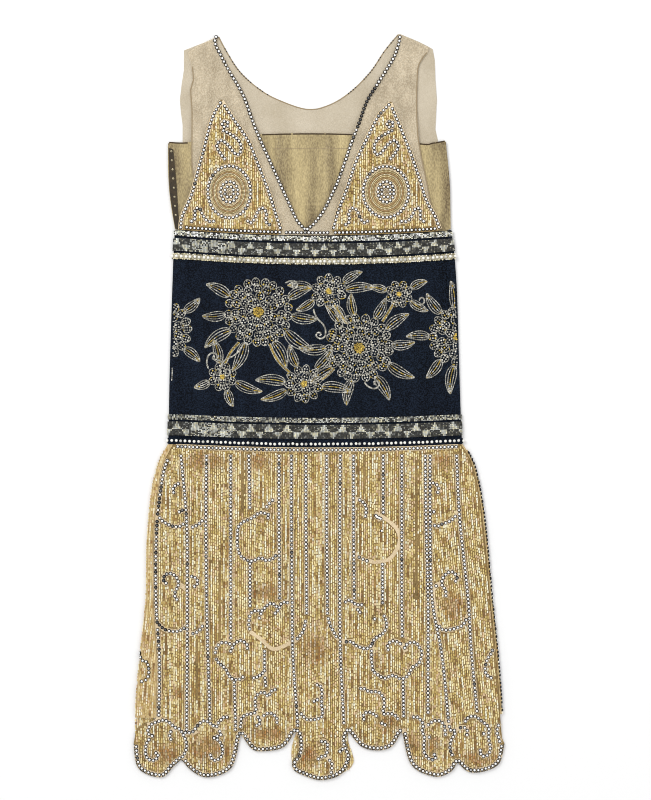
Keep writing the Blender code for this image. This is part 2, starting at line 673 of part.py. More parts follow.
def make_side_placket():
    """Dark placket on the left edge of the under-bodice."""
    outer = curve(((-218, 166), (-217, 219), (-214, 248), (-208.5, 283)), 12)
    inner = curve(((-202.5, 284), (-204, 262), (-207, 215), (-211.5, 168)), 12)

    def base(x, drop):
        return gold_base(x, drop) + SILK + LAYER_GAP

    return wall("side_placket", "dark_placket", outer + inner, flat(base, TRIM), (20, 20))


def make_beaded_point(name, sizes):
    """Beaded panel that rises to a point over each breast, with an oval medallion."""
    left = curve(sizes["left"], 8)
    right = curve(sizes["right"], 8)
    low_left, low_right = left[-1].x, right[-1].x
    bottom = [Vector((x, band_top(x) - SEAM_GAP)) for x in steps(low_left, low_right, 10)]
    left[-1], right[-1] = bottom[0], bottom[-1]
    outline = left + bottom[1:-1] + right[::-1]
    x, drop = sizes["medallion"]
    ridges = [beside(left, -NECK_TO_STONES)[:-1], beside(right, NECK_TO_STONES)[1:-1]]
    ridges.append([Vector((p.x, p.y - EDGE_TO_STONES)) for p in bottom[1:-1]])
    for width, height in sizes["rings"]:
        ridges.append(ring(x, drop, width, height, max(10, round(width * 0.66))))
    for scroll in POINT_SCROLLS:
        line = spaced(curve(scroll, 3), 9)
        ridges.append([Vector((x + sizes["mirror"] * point.x, drop + point.y)) for point in line])

    def base(px, pdrop):
        return chiffon_base(px, pdrop) + CHIFFON + SOFT_GAP

    wall(name, "bugle_beads", outline, flat(base, BEADED), (16, 20), (16, 20), ridges)


def make_band_back():
    """Back of the navy band. It turns over at both sides and meets the front at its seams."""

    def seam(turn, drop):
        table = BAND_SEAM_LEFT if turn < 0 else BAND_SEAM_RIGHT
        top = bend_station(BAND_SIDES, BAND_FOLD, CREPE, turn, drop, 1)
        start = bend_station(BAND_SIDES, BAND_FOLD, CREPE, turn, drop, 0)
        return top + turn * (abs(along(table, drop) - start) - SEAM_GAP)

    def edge_row(drop_of, first):
        """Stations across the cloth at its top or bottom edge."""
        row = []
        for turn, table in ((-1, BAND_SEAM_LEFT), (1, BAND_SEAM_RIGHT)):
            drop = drop_of(BAND_HALF_WIDTH)
            side = [(seam(turn, drop), drop_of(along(table, drop)))]
            for share in BEND_SHARES:
                side.append((bend_station(BAND_SIDES, BAND_FOLD, CREPE, turn, drop, share), drop))
            row.append(side)
        left, right = row
        middle = [(x, drop_of(x)) for x in steps(left[-1][0], right[-1][0], 26)[1:-1]]
        points = [Vector(point) for point in left + middle + right[::-1]]
        return points if first else points[::-1]

    top = edge_row(band_top, True)
    bottom = edge_row(band_bottom, False)
    drops = steps(top[0].y, bottom[-1].y, 24)[1:-1]
    right = [Vector((seam(1, drop), drop)) for drop in drops]
    left = [Vector((seam(-1, drop), drop)) for drop in drops[::-1]]
    creases = []
    for turn in (-1, 1):
        for share in BEND_SHARES:
            ends = top[0].y, bottom[-1].y
            creases.append([
                Vector((bend_station(BAND_SIDES, BAND_FOLD, CREPE, turn, drop, share), drop))
                for drop in steps(*ends, 24)
            ])
    outline = top + right + bottom + left
    place = folded(BAND_SIDES, BAND_FOLD, CREPE)
    wall("band_back", "navy_crepe", outline, place, (60, 60), (60, 60), (), creases)


def make_band_front():
    """Front of the navy band, between the side seams, with soft upright folds."""
    top_y = band_top(BAND_HALF_WIDTH)
    low_y = band_bottom(BAND_HALF_WIDTH)
    drops = steps(top_y + 2, low_y - 2, 16)
    left = [Vector((along(BAND_SEAM_LEFT, drop), drop)) for drop in drops]
    right = [Vector((along(BAND_SEAM_RIGHT, drop), drop)) for drop in drops]
    top = [Vector((x, band_top(x))) for x in steps(left[0].x, right[0].x, 16)]
    bottom = [Vector((x, band_bottom(x))) for x in steps(left[-1].x, right[-1].x, 16)]
    outline = top + right[1:-1] + bottom[::-1] + left[1:-1][::-1]
    wall("band_front", "navy_crepe", outline, flat(band_base, CREPE), (14, 36))


def make_trim(name, edge, near, far, crown):
    """A woven strip sewn across the band, from side fold to side fold."""

    def drop_at(x, offset):
        return band_top(x) + offset if edge == "top" else band_bottom(x) - offset

    near_drop = drop_at(BAND_HALF_WIDTH, (near + far) / 2)
    left = along(BAND_SIDES, near_drop, 1) + BAND_FOLD + 0.6
    right = along(BAND_SIDES, near_drop, 2) - BAND_FOLD - 0.6
    across = steps(left, right, 15)
    first = [Vector((x, drop_at(x, near))) for x in across]
    second = [Vector((x, drop_at(x, far))) for x in across[::-1]]
    crest = [[Vector((x, drop_at(x, (near + far) / 2))) for x in across[1:-1]]] if crown else ()

    def base(x, drop):
        return band_base(x, drop) + CREPE + SOFT_GAP

    def place(x, drop, side, relief):
        return Vector((x, LENGTH / 2 - drop, base(x, drop) + side * (TRIM + relief)))

    finish = "bead_trim" if crown else "metal_trim"
    wall(name, finish, first + second, place, (200, 200), (200, 200), crest, (), crown)


def hem(lobes, step):
    """The scalloped hem, lobe by lobe from the left."""
    points = []
    for lobe in lobes:
        points += curve(lobe, step)
    return points


def skirt_drops(turn):
    """Stations down a side of the skirt, shared by its front and its back."""
    first = band_bottom(BAND_HALF_WIDTH) + SEAM_GAP
    return steps(first, LEFT_SLIT if turn < 0 else RIGHT_SLIT, 20)


def make_skirt_front():
    """Beaded front of the skirt, with its lines and scrolls of stones and its seven hem lobes."""
    left = [Vector((along(SKIRT_SEAM_LEFT, drop), drop)) for drop in skirt_drops(-1)]
    left += curve(((-240, 997), (-250, 1000), (-259, 1005), (-266, 1014)), 7)
    right_drops = skirt_drops(1) + steps(RIGHT_SLIT + 12, 1022, 12)
    right = [Vector((along(SKIRT_SIDES, drop, 2) - SKIRT_FOLD - SEAM_GAP, drop)) for drop in right_drops]
    top = [Vector((x, band_bottom(x) + SEAM_GAP)) for x in steps(left[0].x, right[0].x, 13)[1:-1]]
    low = hem(HEM_LOBES, 7)
    outline = top + right + low[::-1] + left[::-1]
    border_xs = steps(left[0].x + 4, right[0].x - 4, 12)
    border = [[Vector((x, band_bottom(x) + EDGE_TO_STONES)) for x in border_xs]]
    lines = []
    for first, last, *places in STONE_LINES:
        table = tuple(zip(STATIONS, places))
        lines.append([Vector((along(table, drop), drop)) for drop in steps(first, last, 27)])
    scrolls = [spaced([point * SQUARE for point in curve(scroll, 2)], 9) for scroll in SCROLLS]
    hem_line = []
    for lobe in HEM_LOBES:
        hem_line.append(beside(curve(lobe, 7), -EDGE_TO_STONES)[1:-1])
    seam_line = [beside(left[2:-4], -EDGE_TO_STONES + 1)]
    ridges = border + lines + scrolls + hem_line + seam_line
    wall("skirt_front", "bugle_beads", outline, flat(skirt_base, BEADED), (17, 30), (15, 34), ridges)


def back_lobes():
    """Hem lobes of the back: the middle one is wider than in front, the others a little shorter."""
    lobes = [
        [(x, drop - BACK_LOBE_SHORTER * smooth_step((drop - 1020) / 30)) for x, drop in lobe]
        for lobe in HEM_LOBES
    ]
    lobes[CENTRE_LOBE] = BACK_CENTRE_LOBE
    return lobes


def make_skirt_back():
    """Back of the skirt. On the left it turns over and shows as a strip beside the front."""

    def station(turn, drop, share):
        return bend_station(SKIRT_SIDES, SKIRT_FOLD, BEADED, turn, drop, share)

    def seam(turn, drop):
        if turn > 0:
            return station(1, drop, 1)
        return station(-1, drop, 1) - (along(SKIRT_SEAM_LEFT, drop) - station(-1, drop, 0) - SEAM_GAP)

    left_drops, right_drops = skirt_drops(-1), skirt_drops(1)
    top_drop = left_drops[0]
    left_end = [(station(-1, top_drop, share), top_drop) for share in BEND_SHARES]
    right_end = [(station(1, top_drop, share), top_drop) for share in BEND_SHARES]
    middle = [(x, band_bottom(x) + SEAM_GAP) for x in steps(left_end[-1][0], right_end[-1][0], 26)[1:-1]]
    top = [(seam(-1, top_drop), top_drop), *left_end, *middle, *right_end[::-1]]
    right = [(seam(1, drop), drop) for drop in right_drops[1:-1]]
    right += [(station(1, RIGHT_SLIT, share), RIGHT_SLIT) for share in BEND_SHARES]
    right += [(station(1, drop, 0) - 0.5, drop) for drop in (1000, 1013)]
    left = [(station(-1, drop, 0) + 0.5, drop) for drop in (1018, 1006)]
    left += [(station(-1, LEFT_SLIT, share), LEFT_SLIT) for share in BEND_SHARES[::-1]]
    left += [(seam(-1, drop), drop) for drop in left_drops[:0:-1]]
    low = []
    for number, lobe in enumerate(back_lobes()):
        points = curve(lobe, 9)
        if number == 0:
            points[0].x = station(-1, 1030, 0) + 0.6
        low += points
    for point in low:
        point.x = min(max(point.x, station(-1, point.y, 0)), station(1, point.y, 0))
    outline = [Vector(point) for point in top + right] + low[::-1] + [Vector(point) for point in left]
    creases = []
    for turn, drops in ((-1, left_drops), (1, right_drops)):
        for share in BEND_SHARES:
            creases.append([Vector((station(turn, drop, share), drop)) for drop in drops])
    place = folded(SKIRT_SIDES, SKIRT_FOLD, BEADED)
    wall("skirt_back", "beaded_mesh_back", outline, place, (60, 60), (60, 60), (), creases)


def main():
    clear_scene()
    make_bodice_back()
    make_bodice_front()
    make_under_bodice()
    make_side_placket()
    for name, sizes in POINTS.items():
        make_beaded_point(name, sizes)
    make_band_back()
    make_band_front()
    for row in TRIMS:
        make_trim(*row)
    make_skirt_back()
    make_skirt_front()


main()
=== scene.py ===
"""The looks of a beaded evening gown that lies flat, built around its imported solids.

Lengths are in millimetres until a mesh is made: x runs to the right from the centre line as seen
from above, and drop runs from the shoulders down to the hem.
"""

import json
import math

import bmesh
import bpy
import numpy as np
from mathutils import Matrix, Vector
from mathutils.geometry import delaunay_2d_cdt
from mathutils.kdtree import KDTree

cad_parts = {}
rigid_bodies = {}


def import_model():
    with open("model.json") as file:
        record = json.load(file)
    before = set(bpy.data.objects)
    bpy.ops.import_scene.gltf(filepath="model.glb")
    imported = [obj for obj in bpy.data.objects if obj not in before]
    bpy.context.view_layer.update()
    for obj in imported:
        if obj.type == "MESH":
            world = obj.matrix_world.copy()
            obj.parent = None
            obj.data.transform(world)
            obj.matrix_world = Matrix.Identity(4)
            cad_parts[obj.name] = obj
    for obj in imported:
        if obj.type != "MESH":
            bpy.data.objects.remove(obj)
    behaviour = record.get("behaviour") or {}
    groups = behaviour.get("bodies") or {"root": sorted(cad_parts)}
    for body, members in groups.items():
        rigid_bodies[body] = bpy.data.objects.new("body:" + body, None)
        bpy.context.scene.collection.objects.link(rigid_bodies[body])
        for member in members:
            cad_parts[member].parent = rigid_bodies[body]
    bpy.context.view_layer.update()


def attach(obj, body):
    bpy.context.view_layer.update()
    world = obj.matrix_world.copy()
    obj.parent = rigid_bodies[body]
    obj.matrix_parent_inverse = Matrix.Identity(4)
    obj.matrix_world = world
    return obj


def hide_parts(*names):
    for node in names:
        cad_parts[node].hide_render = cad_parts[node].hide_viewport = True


MM = 0.001
LENGTH = 1083
BODY = "root"
LOOKS = {}

# Thicknesses of the solids and the gaps between them
CHIFFON = 1.0
SILK = 1.0
CREPE = 1.2
BEADED = 1.6
SEAM_GAP = 0.3
LAYER_GAP = 0.3
SOFT_GAP = 0.55
BAND_FOLD = 2.0
SKIRT_FOLD = 2.6
BEND_SHARES = (1.0, 0.75, 0.5, 0.25, 0.0)
EDGE_TO_STONES = 4.6
NECK_TO_STONES = 2.4
BEAD_STRIP = 9.0
GOLD_BACK_BASE = CHIFFON + LAYER_GAP
GOLD_FRONT_BASE = GOLD_BACK_BASE + SILK + LAYER_GAP
SKIRT_FRONT_BASE = 2 * SKIRT_FOLD - BEADED
HEM_REST = BEADED + 0.5

# The waist band dips a little in the middle, at its top and at its bottom edge
BAND_TOP = 285.0
BAND_TOP_SAG = 8.0
BAND_BOTTOM = 595.5
BAND_BOTTOM_SAG = 5.0
BAND_HALF_WIDTH = 200.0

# Side folds of the gown: drop, left x, right x
BAND_SIDES = (
    (285, -209, 192),
    (316, -211, 196),
    (370, -213, 200),
    (430, -215, 202),
    (500, -217, 204),
    (560, -218, 206),
    (601, -219, 208),
)
SKIRT_SIDES = (
    (595, -219, 208),
    (618, -231, 222),
    (650, -240, 231),
    (683, -245, 237),
    (734, -249, 243),
    (821, -251, 251),
    (879, -257, 257),
    (937, -263, 262),
    (995, -267, 266),
    (1040, -269.5, 269.5),
    (1083, -269.5, 269.5),
)
# Side seams, on the front of the gown: drop, x
BAND_SEAM_LEFT = ((285, -190), (400, -189), (502, -198), (552, -200), (601, -203))
BAND_SEAM_RIGHT = ((285, 184), (368, 185), (413, 189), (535, 196), (601, 199))
SKIRT_SEAM_LEFT = ((595, -211), (625, -226), (661, -233), (719, -239), (821, -240), (908, -235),
(992, -236))
LEFT_SLIT = 992
RIGHT_SLIT = 987

# Front and back hem lobes: left notch, left side, bottom, right side, right notch, each x and drop
HEM_LOBES = (
    ((-269, 1030), (-262, 1066), (-229, 1079), (-211, 1063), (-201, 1054)),
    ((-199, 1054), (-184, 1070), (-161, 1079), (-127, 1065), (-114, 1017)),
    ((-112, 1018), (-97, 1038), (-78, 1041), (-51, 1035), (-35.5, 1013)),
    ((-31, 1014), (-29, 1031), (-31, 1045), (-39, 1057), (-36, 1069), (-20, 1077), (2, 1083),
     (26, 1078), (39, 1067), (46, 1049), (42, 1036), (39, 1026), (42, 1012)),
    ((44, 1014), (61, 1034), (84, 1040), (106, 1034), (119, 1013)),
    ((121, 1014), (134, 1061), (168, 1078), (191, 1071), (200, 1058)),
    ((202, 1058), (217, 1071), (241, 1070), (262, 1058), (269, 1030)),
)
# The middle lobe has a narrow stem in front, where the back's wider one shows beside it
CENTRE_LOBE = 3
BACK_CENTRE_LOBE = ((-33, 1014), (-39, 1034), (-40, 1050), (-36, 1067), (-20, 1075), (2, 1081), (26, 1076),
                    (44, 1067), (50, 1056), (48, 1044), (43, 1030), (42, 1013))
BACK_LOBE_SHORTER = 4.0

# Soft folds of each layer: x, top drop, bottom drop, width, height
GOLD_FOLDS = (
    (-160, 165, 278, 44, 1.3),
    (-45, 150, 282, 50, 1.4),
    (20, 150, 282, 44, 1.5),
    (140, 168, 278, 40, 1.2),
)
BAND_FOLDS = (
    (-165, 305, 588, 44, 1.8),
    (-95, 330, 575, 60, 1.3),
    (-45, 300, 590, 46, 1.8),
    (55, 320, 570, 70, 1.5),
    (150, 305, 585, 46, 2.0),
)
SKIRT_FOLDS = (
    (-196, 612, 790, 40, 2.4),
    (-172, 760, 1000, 54, 2.2),
    (-104, 612, 960, 50, 2.4),
    (-50, 700, 1010, 56, 2.0),
    (12, 612, 1010, 70, 2.6),
    (78, 640, 940, 56, 2.2),
    (138, 612, 1000, 60, 2.6),
    (205, 640, 1010, 60, 2.4),
)

# Lines of stones down the skirt: first drop, last drop, then x at each station
STATIONS = (603, 705, 821, 900, 1000)
STONE_LINES = (
    (610, 1012, -201, -192, -191, -191, -192),
    (610, 996, -163, -164, -163, -161, -158),
    (610, 879, -128, -128, -128, -128, -128),
    (938, 1012, -124, -124, -124, -124, -121),
    (610, 690, -102, -100, -100, -100, -100),
    (766, 832, -100, -100, -100, -100, -100),
    (610, 821, -58, -58, -57, -57, -57),
    (610, 1006, -40, -40, -39, -38, -31),
    (610, 843, -19, -19, -18, -18, -18),
    (610, 843, 11, 11, 12, 12, 12),
    (610, 1002, 31, 30, 30, 31, 36),
    (610, 821, 50, 50, 51, 51, 51),
    (610, 697, 93, 93, 93, 93, 93),
    (767, 828, 93, 92, 92, 92, 92),
    (610, 876, 120, 120, 120, 121, 121),
    (938, 992, 120, 120, 120, 121, 123),
    (610, 987, 154, 155, 158, 158, 158),
    (610, 1000, 161, 161, 164, 178, 188),
    (610, 985, 199, 204, 216, 221, 231),
)

# Scrolls of stones on the skirt, each drafted on squared paper as a curve through these points:
# squares from the centre line, squares down from the shoulders
SQUARE = 1.45
SCROLLS = (
    # Left, upper and lower circle
    ((-144.5, 460.5), (-146, 456), (-143, 451.5), (-138, 450), (-134, 453), (-132.5, 458)),
    ((-133, 473), (-137, 477), (-141, 479)),
    ((-160.5, 483), (-158, 486), (-155, 488.5), (-147, 492.5), (-140, 493), (-134, 489.5)),
    ((-132, 493), (-128, 494), (-121.5, 491.5), (-118.5, 489), (-113, 483)),
    ((-151, 549.5), (-154, 549.5), (-155.5, 546), (-154.5, 542.5), (-151, 540), (-146.5, 540.5),
     (-143, 543.5), (-141, 547), (-140.5, 551), (-142, 555), (-144, 559), (-144, 563), (-141, 567.5)),
    ((-140.5, 551), (-136, 553), (-132.5, 556)),
    ((-129, 543), (-125.5, 543), (-122.5, 545.5), (-121, 548), (-122.5, 551.5), (-126, 553.5)),
    ((-161, 590), (-155, 595.5), (-149, 597.5), (-144, 598), (-139, 597), (-134, 594), (-131.5, 590)),
    ((-132, 599), (-127, 600), (-123, 599), (-119.5, 596.5), (-116, 592), (-112.5, 588)),
    # Left of the middle, the large loop and the curls below it
    ((-40.5, 465), (-44, 466), (-47, 467), (-50, 470.5), (-53.5, 475)),
    ((-52, 486), (-50, 482), (-53, 480), (-60, 479.5), (-66, 484), (-74, 487.5), (-78, 490), (-81, 495),
     (-81.5, 504), (-81.5, 512), (-79.5, 520), (-75, 525), (-67, 527.5), (-59, 524.5), (-52, 527),
     (-45, 524), (-40, 517.5)),
    ((-66, 577.5), (-62, 577), (-57, 577), (-53, 573), (-50, 570.5), (-46, 570), (-41, 574)),
    ((-66, 577.5), (-69, 581), (-70, 588), (-70, 593), (-68.5, 597)),
    ((-59, 578), (-58, 581), (-59.5, 584.5), (-62, 584)),
    ((-45, 581), (-42, 578), (-40, 575), (-38.5, 571), (-36, 569), (-32.5, 568), (-30, 570.5), (-27, 569)),
    ((-13.5, 586), (-14, 591), (-16, 598), (-18, 601), (-21, 604.5), (-27, 609), (-30, 610)),
    ((-104, 621), (-103.5, 617), (-102, 613), (-98, 609.5), (-94, 609), (-90, 609.5), (-88, 612)),
    ((-103.5, 624), (-101, 628.5), (-97, 632), (-93, 636), (-90.5, 641), (-88, 644.5), (-85, 646)),
    ((-89.5, 619), (-87, 615.5), (-86, 612), (-83, 609), (-79, 607), (-75, 608), (-71.5, 611.5),
     (-72, 616.5)),
    ((-85, 646), (-81, 646), (-77.5, 645), (-75, 642)),
    ((-67, 644.5), (-63, 644), (-60, 642.5), (-57, 640), (-55, 638.5)),
    ((-54.5, 616), (-54.5, 630), (-54, 645), (-53, 654)),
    # Right of the middle
    ((9, 583), (10.5, 590), (13, 595), (16, 601), (18.5, 604), (23, 607), (29, 608.5), (33, 608),
     (35.5, 611), (39, 613), (46, 615), (50, 614), (53, 611)),
    ((35, 466), (38, 466), (42, 467), (45, 470), (47, 473.5), (47, 480), (46, 484.5)),
    ((57, 482), (60, 485.5), (63.5, 484)),
    ((35, 520), (38, 522.5), (43, 525), (46.5, 527), (50, 527.5)),
    ((25, 569.5), (28, 567.5), (31, 566.5), (34.5, 569.5), (37.5, 571), (41, 571.5), (44.5, 571)),
    ((37.5, 571), (38.5, 575), (40, 578), (42.5, 579.5)),
    ((54, 584.5), (57, 586)),
    ((64, 581), (66, 584), (67.5, 590), (67, 595), (63, 600.5), (59, 603), (56, 605), (53.5, 609),
     (52.5, 618), (52.5, 626), (53.5, 634), (54, 638)),
    ((85, 616), (87, 611.5), (91, 609), (95, 608.5), (98, 610), (100.5, 614), (102.5, 618), (102.5, 622),
     (100, 629), (96, 632), (93, 634), (89.5, 641), (86, 644), (82, 645.5), (74, 642), (66.5, 644.5),
     (62, 643.5), (58, 640.5), (54, 638)),
    ((70, 618), (68.5, 614), (70, 609.5), (73, 607.5), (77.5, 608), (82, 610.5), (85, 614), (87, 618)),
    # Right
    ((108.5, 452), (112, 450), (114.5, 449.5), (117.5, 451), (119.5, 454), (119.5, 457.5), (117.5, 460.5)),
    ((109, 472), (111, 476), (113, 478), (116.5, 478.5)),
    ((110, 492), (114, 491.5), (118, 493), (122, 491), (130, 488), (133.5, 485.5), (136.5, 482.5),
     (139.5, 478)),
    ((135, 548.5), (138, 546), (137, 541.5), (132.5, 538), (129, 539), (126, 541.5), (124, 544.5),
     (122.5, 550), (124.5, 553.5), (126.5, 557), (127, 560), (126.5, 564)),
    ((122.5, 550.5), (119, 551), (116, 553.5), (114, 556), (113.5, 560), (114, 566), (115, 571), (116, 577),
     (116, 583), (118, 589.5), (122, 595), (126, 596.5), (131, 596), (135, 595), (142, 592.5), (145, 589.5),
     (149.5, 581)),
    ((174, 615), (172, 620), (169, 624.5), (167, 630), (166, 635.5), (167, 640), (170, 643.5),
     (174, 644.5)),
    # Hem, from the left lobe to the right one
    ((-165, 703), (-170, 701), (-171, 696), (-167, 690.5), (-161, 688), (-155, 686.5), (-149, 689.5),
     (-144, 694), (-139, 696), (-135.5, 702), (-133, 708), (-132.5, 714), (-134.5, 720), (-137.5, 725)),
    ((-169, 705), (-172, 709), (-173.5, 715), (-173.5, 720), (-171.5, 725), (-166, 727), (-161.5, 724),
     (-161.5, 720), (-165, 719.5)),
    ((-143, 695.5), (-147, 697), (-149, 700), (-149, 705), (-146.5, 707)),
    ((-139, 697), (-132, 699.5), (-126, 698), (-123.5, 695), (-120, 690.5), (-116, 687.5), (-112, 687.5),
     (-108, 690.5), (-103, 693.5), (-101, 690), (-98.5, 687), (-96, 684), (-93, 683), (-90.5, 685)),
    ((-123, 700.5), (-125, 697)),
    ((-103, 693.5), (-100, 697), (-98, 701), (-102, 703), (-105, 704.5), (-102, 706), (-98.5, 709.5),
     (-97, 713), (-96.5, 718), (-98, 723.5), (-104, 727), (-109, 723), (-107, 720.5)),
    ((-79, 695), (-78, 690), (-78, 686), (-76, 683), (-72, 681), (-65, 679.5), (-63, 677), (-64, 670),
     (-63, 663), (-61, 660.5), (-58, 659), (-55, 659), (-52, 661.5), (-51, 665), (-49.5, 661), (-47, 657),
     (-42, 655.5)),
    ((-65, 680), (-61.5, 683), (-59.5, 686), (-59, 689), (-61, 692), (-64, 691.5)),
    ((-59.5, 686), (-55, 682), (-52, 680), (-49, 679.5), (-46, 680.5), (-43, 683.5), (-41.5, 687),
     (-43, 690.5)),
    ((-3.5, 652), (-1, 651), (2, 653), (3, 660), (2.5, 670), (3.5, 677), (3.5, 681), (2, 684), (-4, 686),
     (-11, 686), (-14, 684.5), (-19, 679)),
    ((2.5, 663), (0, 665.5), (-4, 667), (-6, 669)),
    ((1, 709), (4, 707.5), (7, 709), (8.5, 711), (8.5, 715), (7, 722), (2, 723.5), (-2, 727)),
    ((7, 722), (10, 726), (13, 731), (12.5, 737), (12, 741)),
    ((25, 715), (22, 716.5), (20, 719.5)),
    ((40, 656), (43, 654.5), (46, 655.5), (50, 658), (56, 658), (60, 659), (63, 662), (65, 666), (65, 673),
     (64, 680), (70, 680), (75, 681), (78, 684), (79.5, 687)),
    ((46, 687), (44, 684), (45, 681), (48, 678.5), (52, 679), (55, 681), (59, 683.5)),
    ((62, 688), (64, 691), (68, 691.5)),
    ((93, 684.5), (96, 683), (99, 684), (102, 687), (104, 690.5), (104, 694), (103, 698), (104.5, 701),
     (105.5, 705), (105, 710), (105, 716), (105.5, 720), (108, 723.5), (111, 726), (115, 726), (117, 723),
     (114, 720)),
    ((104, 694), (107.5, 692), (111, 690.5), (113, 688), (119, 687), (123, 689), (125.5, 693),
     (126.5, 703)),
    ((105.5, 705.5), (109, 704), (112, 703.5)),
    ((128, 684), (130, 692), (132, 697), (136, 697), (135, 702), (133, 705), (131.5, 709), (131, 714),
     (132, 719), (134, 723)),
    ((136, 697), (140, 694.5), (144, 694), (147.5, 695), (148.5, 700), (147, 703)),
    ((146, 689.5), (146.5, 687), (148, 685), (151, 683), (157, 683), (161, 686.5), (164, 688.5), (168, 692),
     (170, 696), (169.5, 702), (170, 707), (171.5, 715), (170, 720), (167, 722.5), (163.5, 722.5),
     (160.5, 718), (163, 716)),
    ((163, 700), (166, 700.5), (169.5, 702)),
    ((180.5, 690), (178.5, 694), (178, 699), (180, 705), (181, 710)),
)

# Pointed beaded panels of the bodice: the edges from the apex down to the band, x and drop
POINTS = {
    "beaded_point_left": {
        "left": ((-143, 96), (-155, 117), (-164, 146), (-170, 172), (-178, 200), (-185, 228), (-194, 250),
                 (-201, 266), (-203, 284)),
        "right": ((-140, 96), (-122, 123), (-101, 154), (-86, 189), (-71, 228), (-61, 259), (-53, 284)),
        "medallion": (-130, 230),
        "rings": ((31, 37.5), (12.5, 15)),
        "mirror": 1,
    },
    "beaded_point_right": {
        "left": ((102, 99), (84, 119), (68, 150), (51, 186), (39, 222), (26, 256), (18, 284)),
        "right": ((105, 99), (111, 114), (124, 145), (136, 176), (147, 208), (158, 242), (170, 264),
                  (177, 283)),
        "medallion": (97, 230),
        "rings": ((33, 37), (11.5, 15)),
        "mirror": -1,
    },
}
# Their scrolls of stones, from the middle of the medallion and mirrored on the right
POINT_SCROLLS = (
    ((-11, -90), (-3, -86), (6, -81), (13, -75), (17, -67), (16, -57), (11, -54), (5, -59), (-1, -67),
     (-8, -73), (-14, -74), (-18, -66), (-15, -59), (-11, -53), (-5, -46)),
    ((-57, 44), (-50, 39), (-50, 29), (-48, 24), (-43, 24), (-39, 32), (-34, 40), (-28, 43), (-20, 42)),
    ((25, 40), (30, 45), (36, 40), (41, 29), (45, 24), (50, 24), (54, 32), (53, 40), (55, 46), (61, 48)),
)

# Woven trims on the band: name, top or bottom edge of the band, near and far offset from it, crown
TRIMS = (
    ("trim_top_narrow", "top", 0.6, 9.0, 0.0),
    ("trim_top_wide", "top", 11.4, 30.6, 0.0),
    ("trim_top_beads", "top", 33.2, 33.2 + BEAD_STRIP, 1.4),
    ("trim_low_narrow", "bottom", 35.4, 43.4, 0.0),
    ("trim_low_wide", "bottom", 12.4, 33.2, 0.0),
    ("trim_low_beads", "bottom", 0.6, 0.6 + BEAD_STRIP, 1.4),
)

# Lines that have lost their stones, where only the net shows: x and drop
BARE_LINES = (
    ((81, 695), (100, 706), (113, 719), (117, 735), (111, 751), (100, 763), (81, 766), (71, 764)),
    ((-100, 867), (-83, 879), (-68, 892), (-53, 889), (-38, 880)),
)
# Single stones left on them
LONE_STONES = ((91, 721), (82.5, 699), (87, 702))
# Stones on the part of the back that turns over at the left
RETURN_LINE = ((-259, 896), (-257, 908), (-250, 911), (-247, 919), (-247, 930), (-251, 937), (-260, 940))
# Upright streaks of bare net: x, first and last drop, width
BARE_STREAKS = (
    (-111, 610, 697, 4.4),
    (66, 610, 668, 3.0),
    (141, 618, 821, 4.0),
    (-144, 763, 879, 2.2),
    (-177, 879, 966, 3.0),
)
# Patches of painted shade in the beads, where they are mixed towards brown: x, drop, half width, half
# height, strength
PAINTED_SHADE_PATCHES = (
    (-163, 620, 31, 14, 0.8),
    (-90, 620, 26, 14, 0.8),
    (180, 620, 22, 14, 0.7),
    (-71, 810, 29, 12, 0.8),
    (193, 828, 18, 22, 0.7),
    (-6, 891, 22, 26, 0.7),
    (82, 906, 10, 9, 0.6),
    (-202, 957, 10, 10, 0.7),
    (-224, 1046, 22, 16, 0.9),
    (-155, 1037, 33, 22, 0.8),
    (-71, 1015, 29, 10, 0.8),
    (-21, 1047, 22, 18, 0.9),
    (99, 1000, 18, 15, 0.7),
    (135, 1030, 12, 15, 0.8),
    (166, 1032, 12, 15, 0.8),
    (233, 1050, 29, 12, 0.8),
)
# Slant of the rows of beads at the right, where the skirt flares: drop, x
FLARE = ((603, 0), (705, 5), (821, 17), (900, 23), (1000, 32), (1083, 36))
FLARE_LINE = ((603, 161), (705, 161), (821, 164), (900, 178), (1000, 188), (1083, 196))

# Sizes of the sewn-on pieces
STONE_PITCH = 5.6
BUGLE_WIDTH = 2.2
BUGLE_LENGTH = 3.8
BUGLE_PITCH = 3.0
STRIP_WIDTH = 7.0
BARE_WIDTH = 5.6
TOP_TO_STONES = 3.4
FOOT_TO_STONES = 4.0
NET = 0.6
# Where the V neck's two lines of stones meet: x, drop
V_FOOT = (-19, 285.6)
# Creases of the silk: x, depth
SILK_CREASES = ((-62, 0.5), (-37, 0.6), (8, 0.35), (160, 0.5), (-192, 0.4))

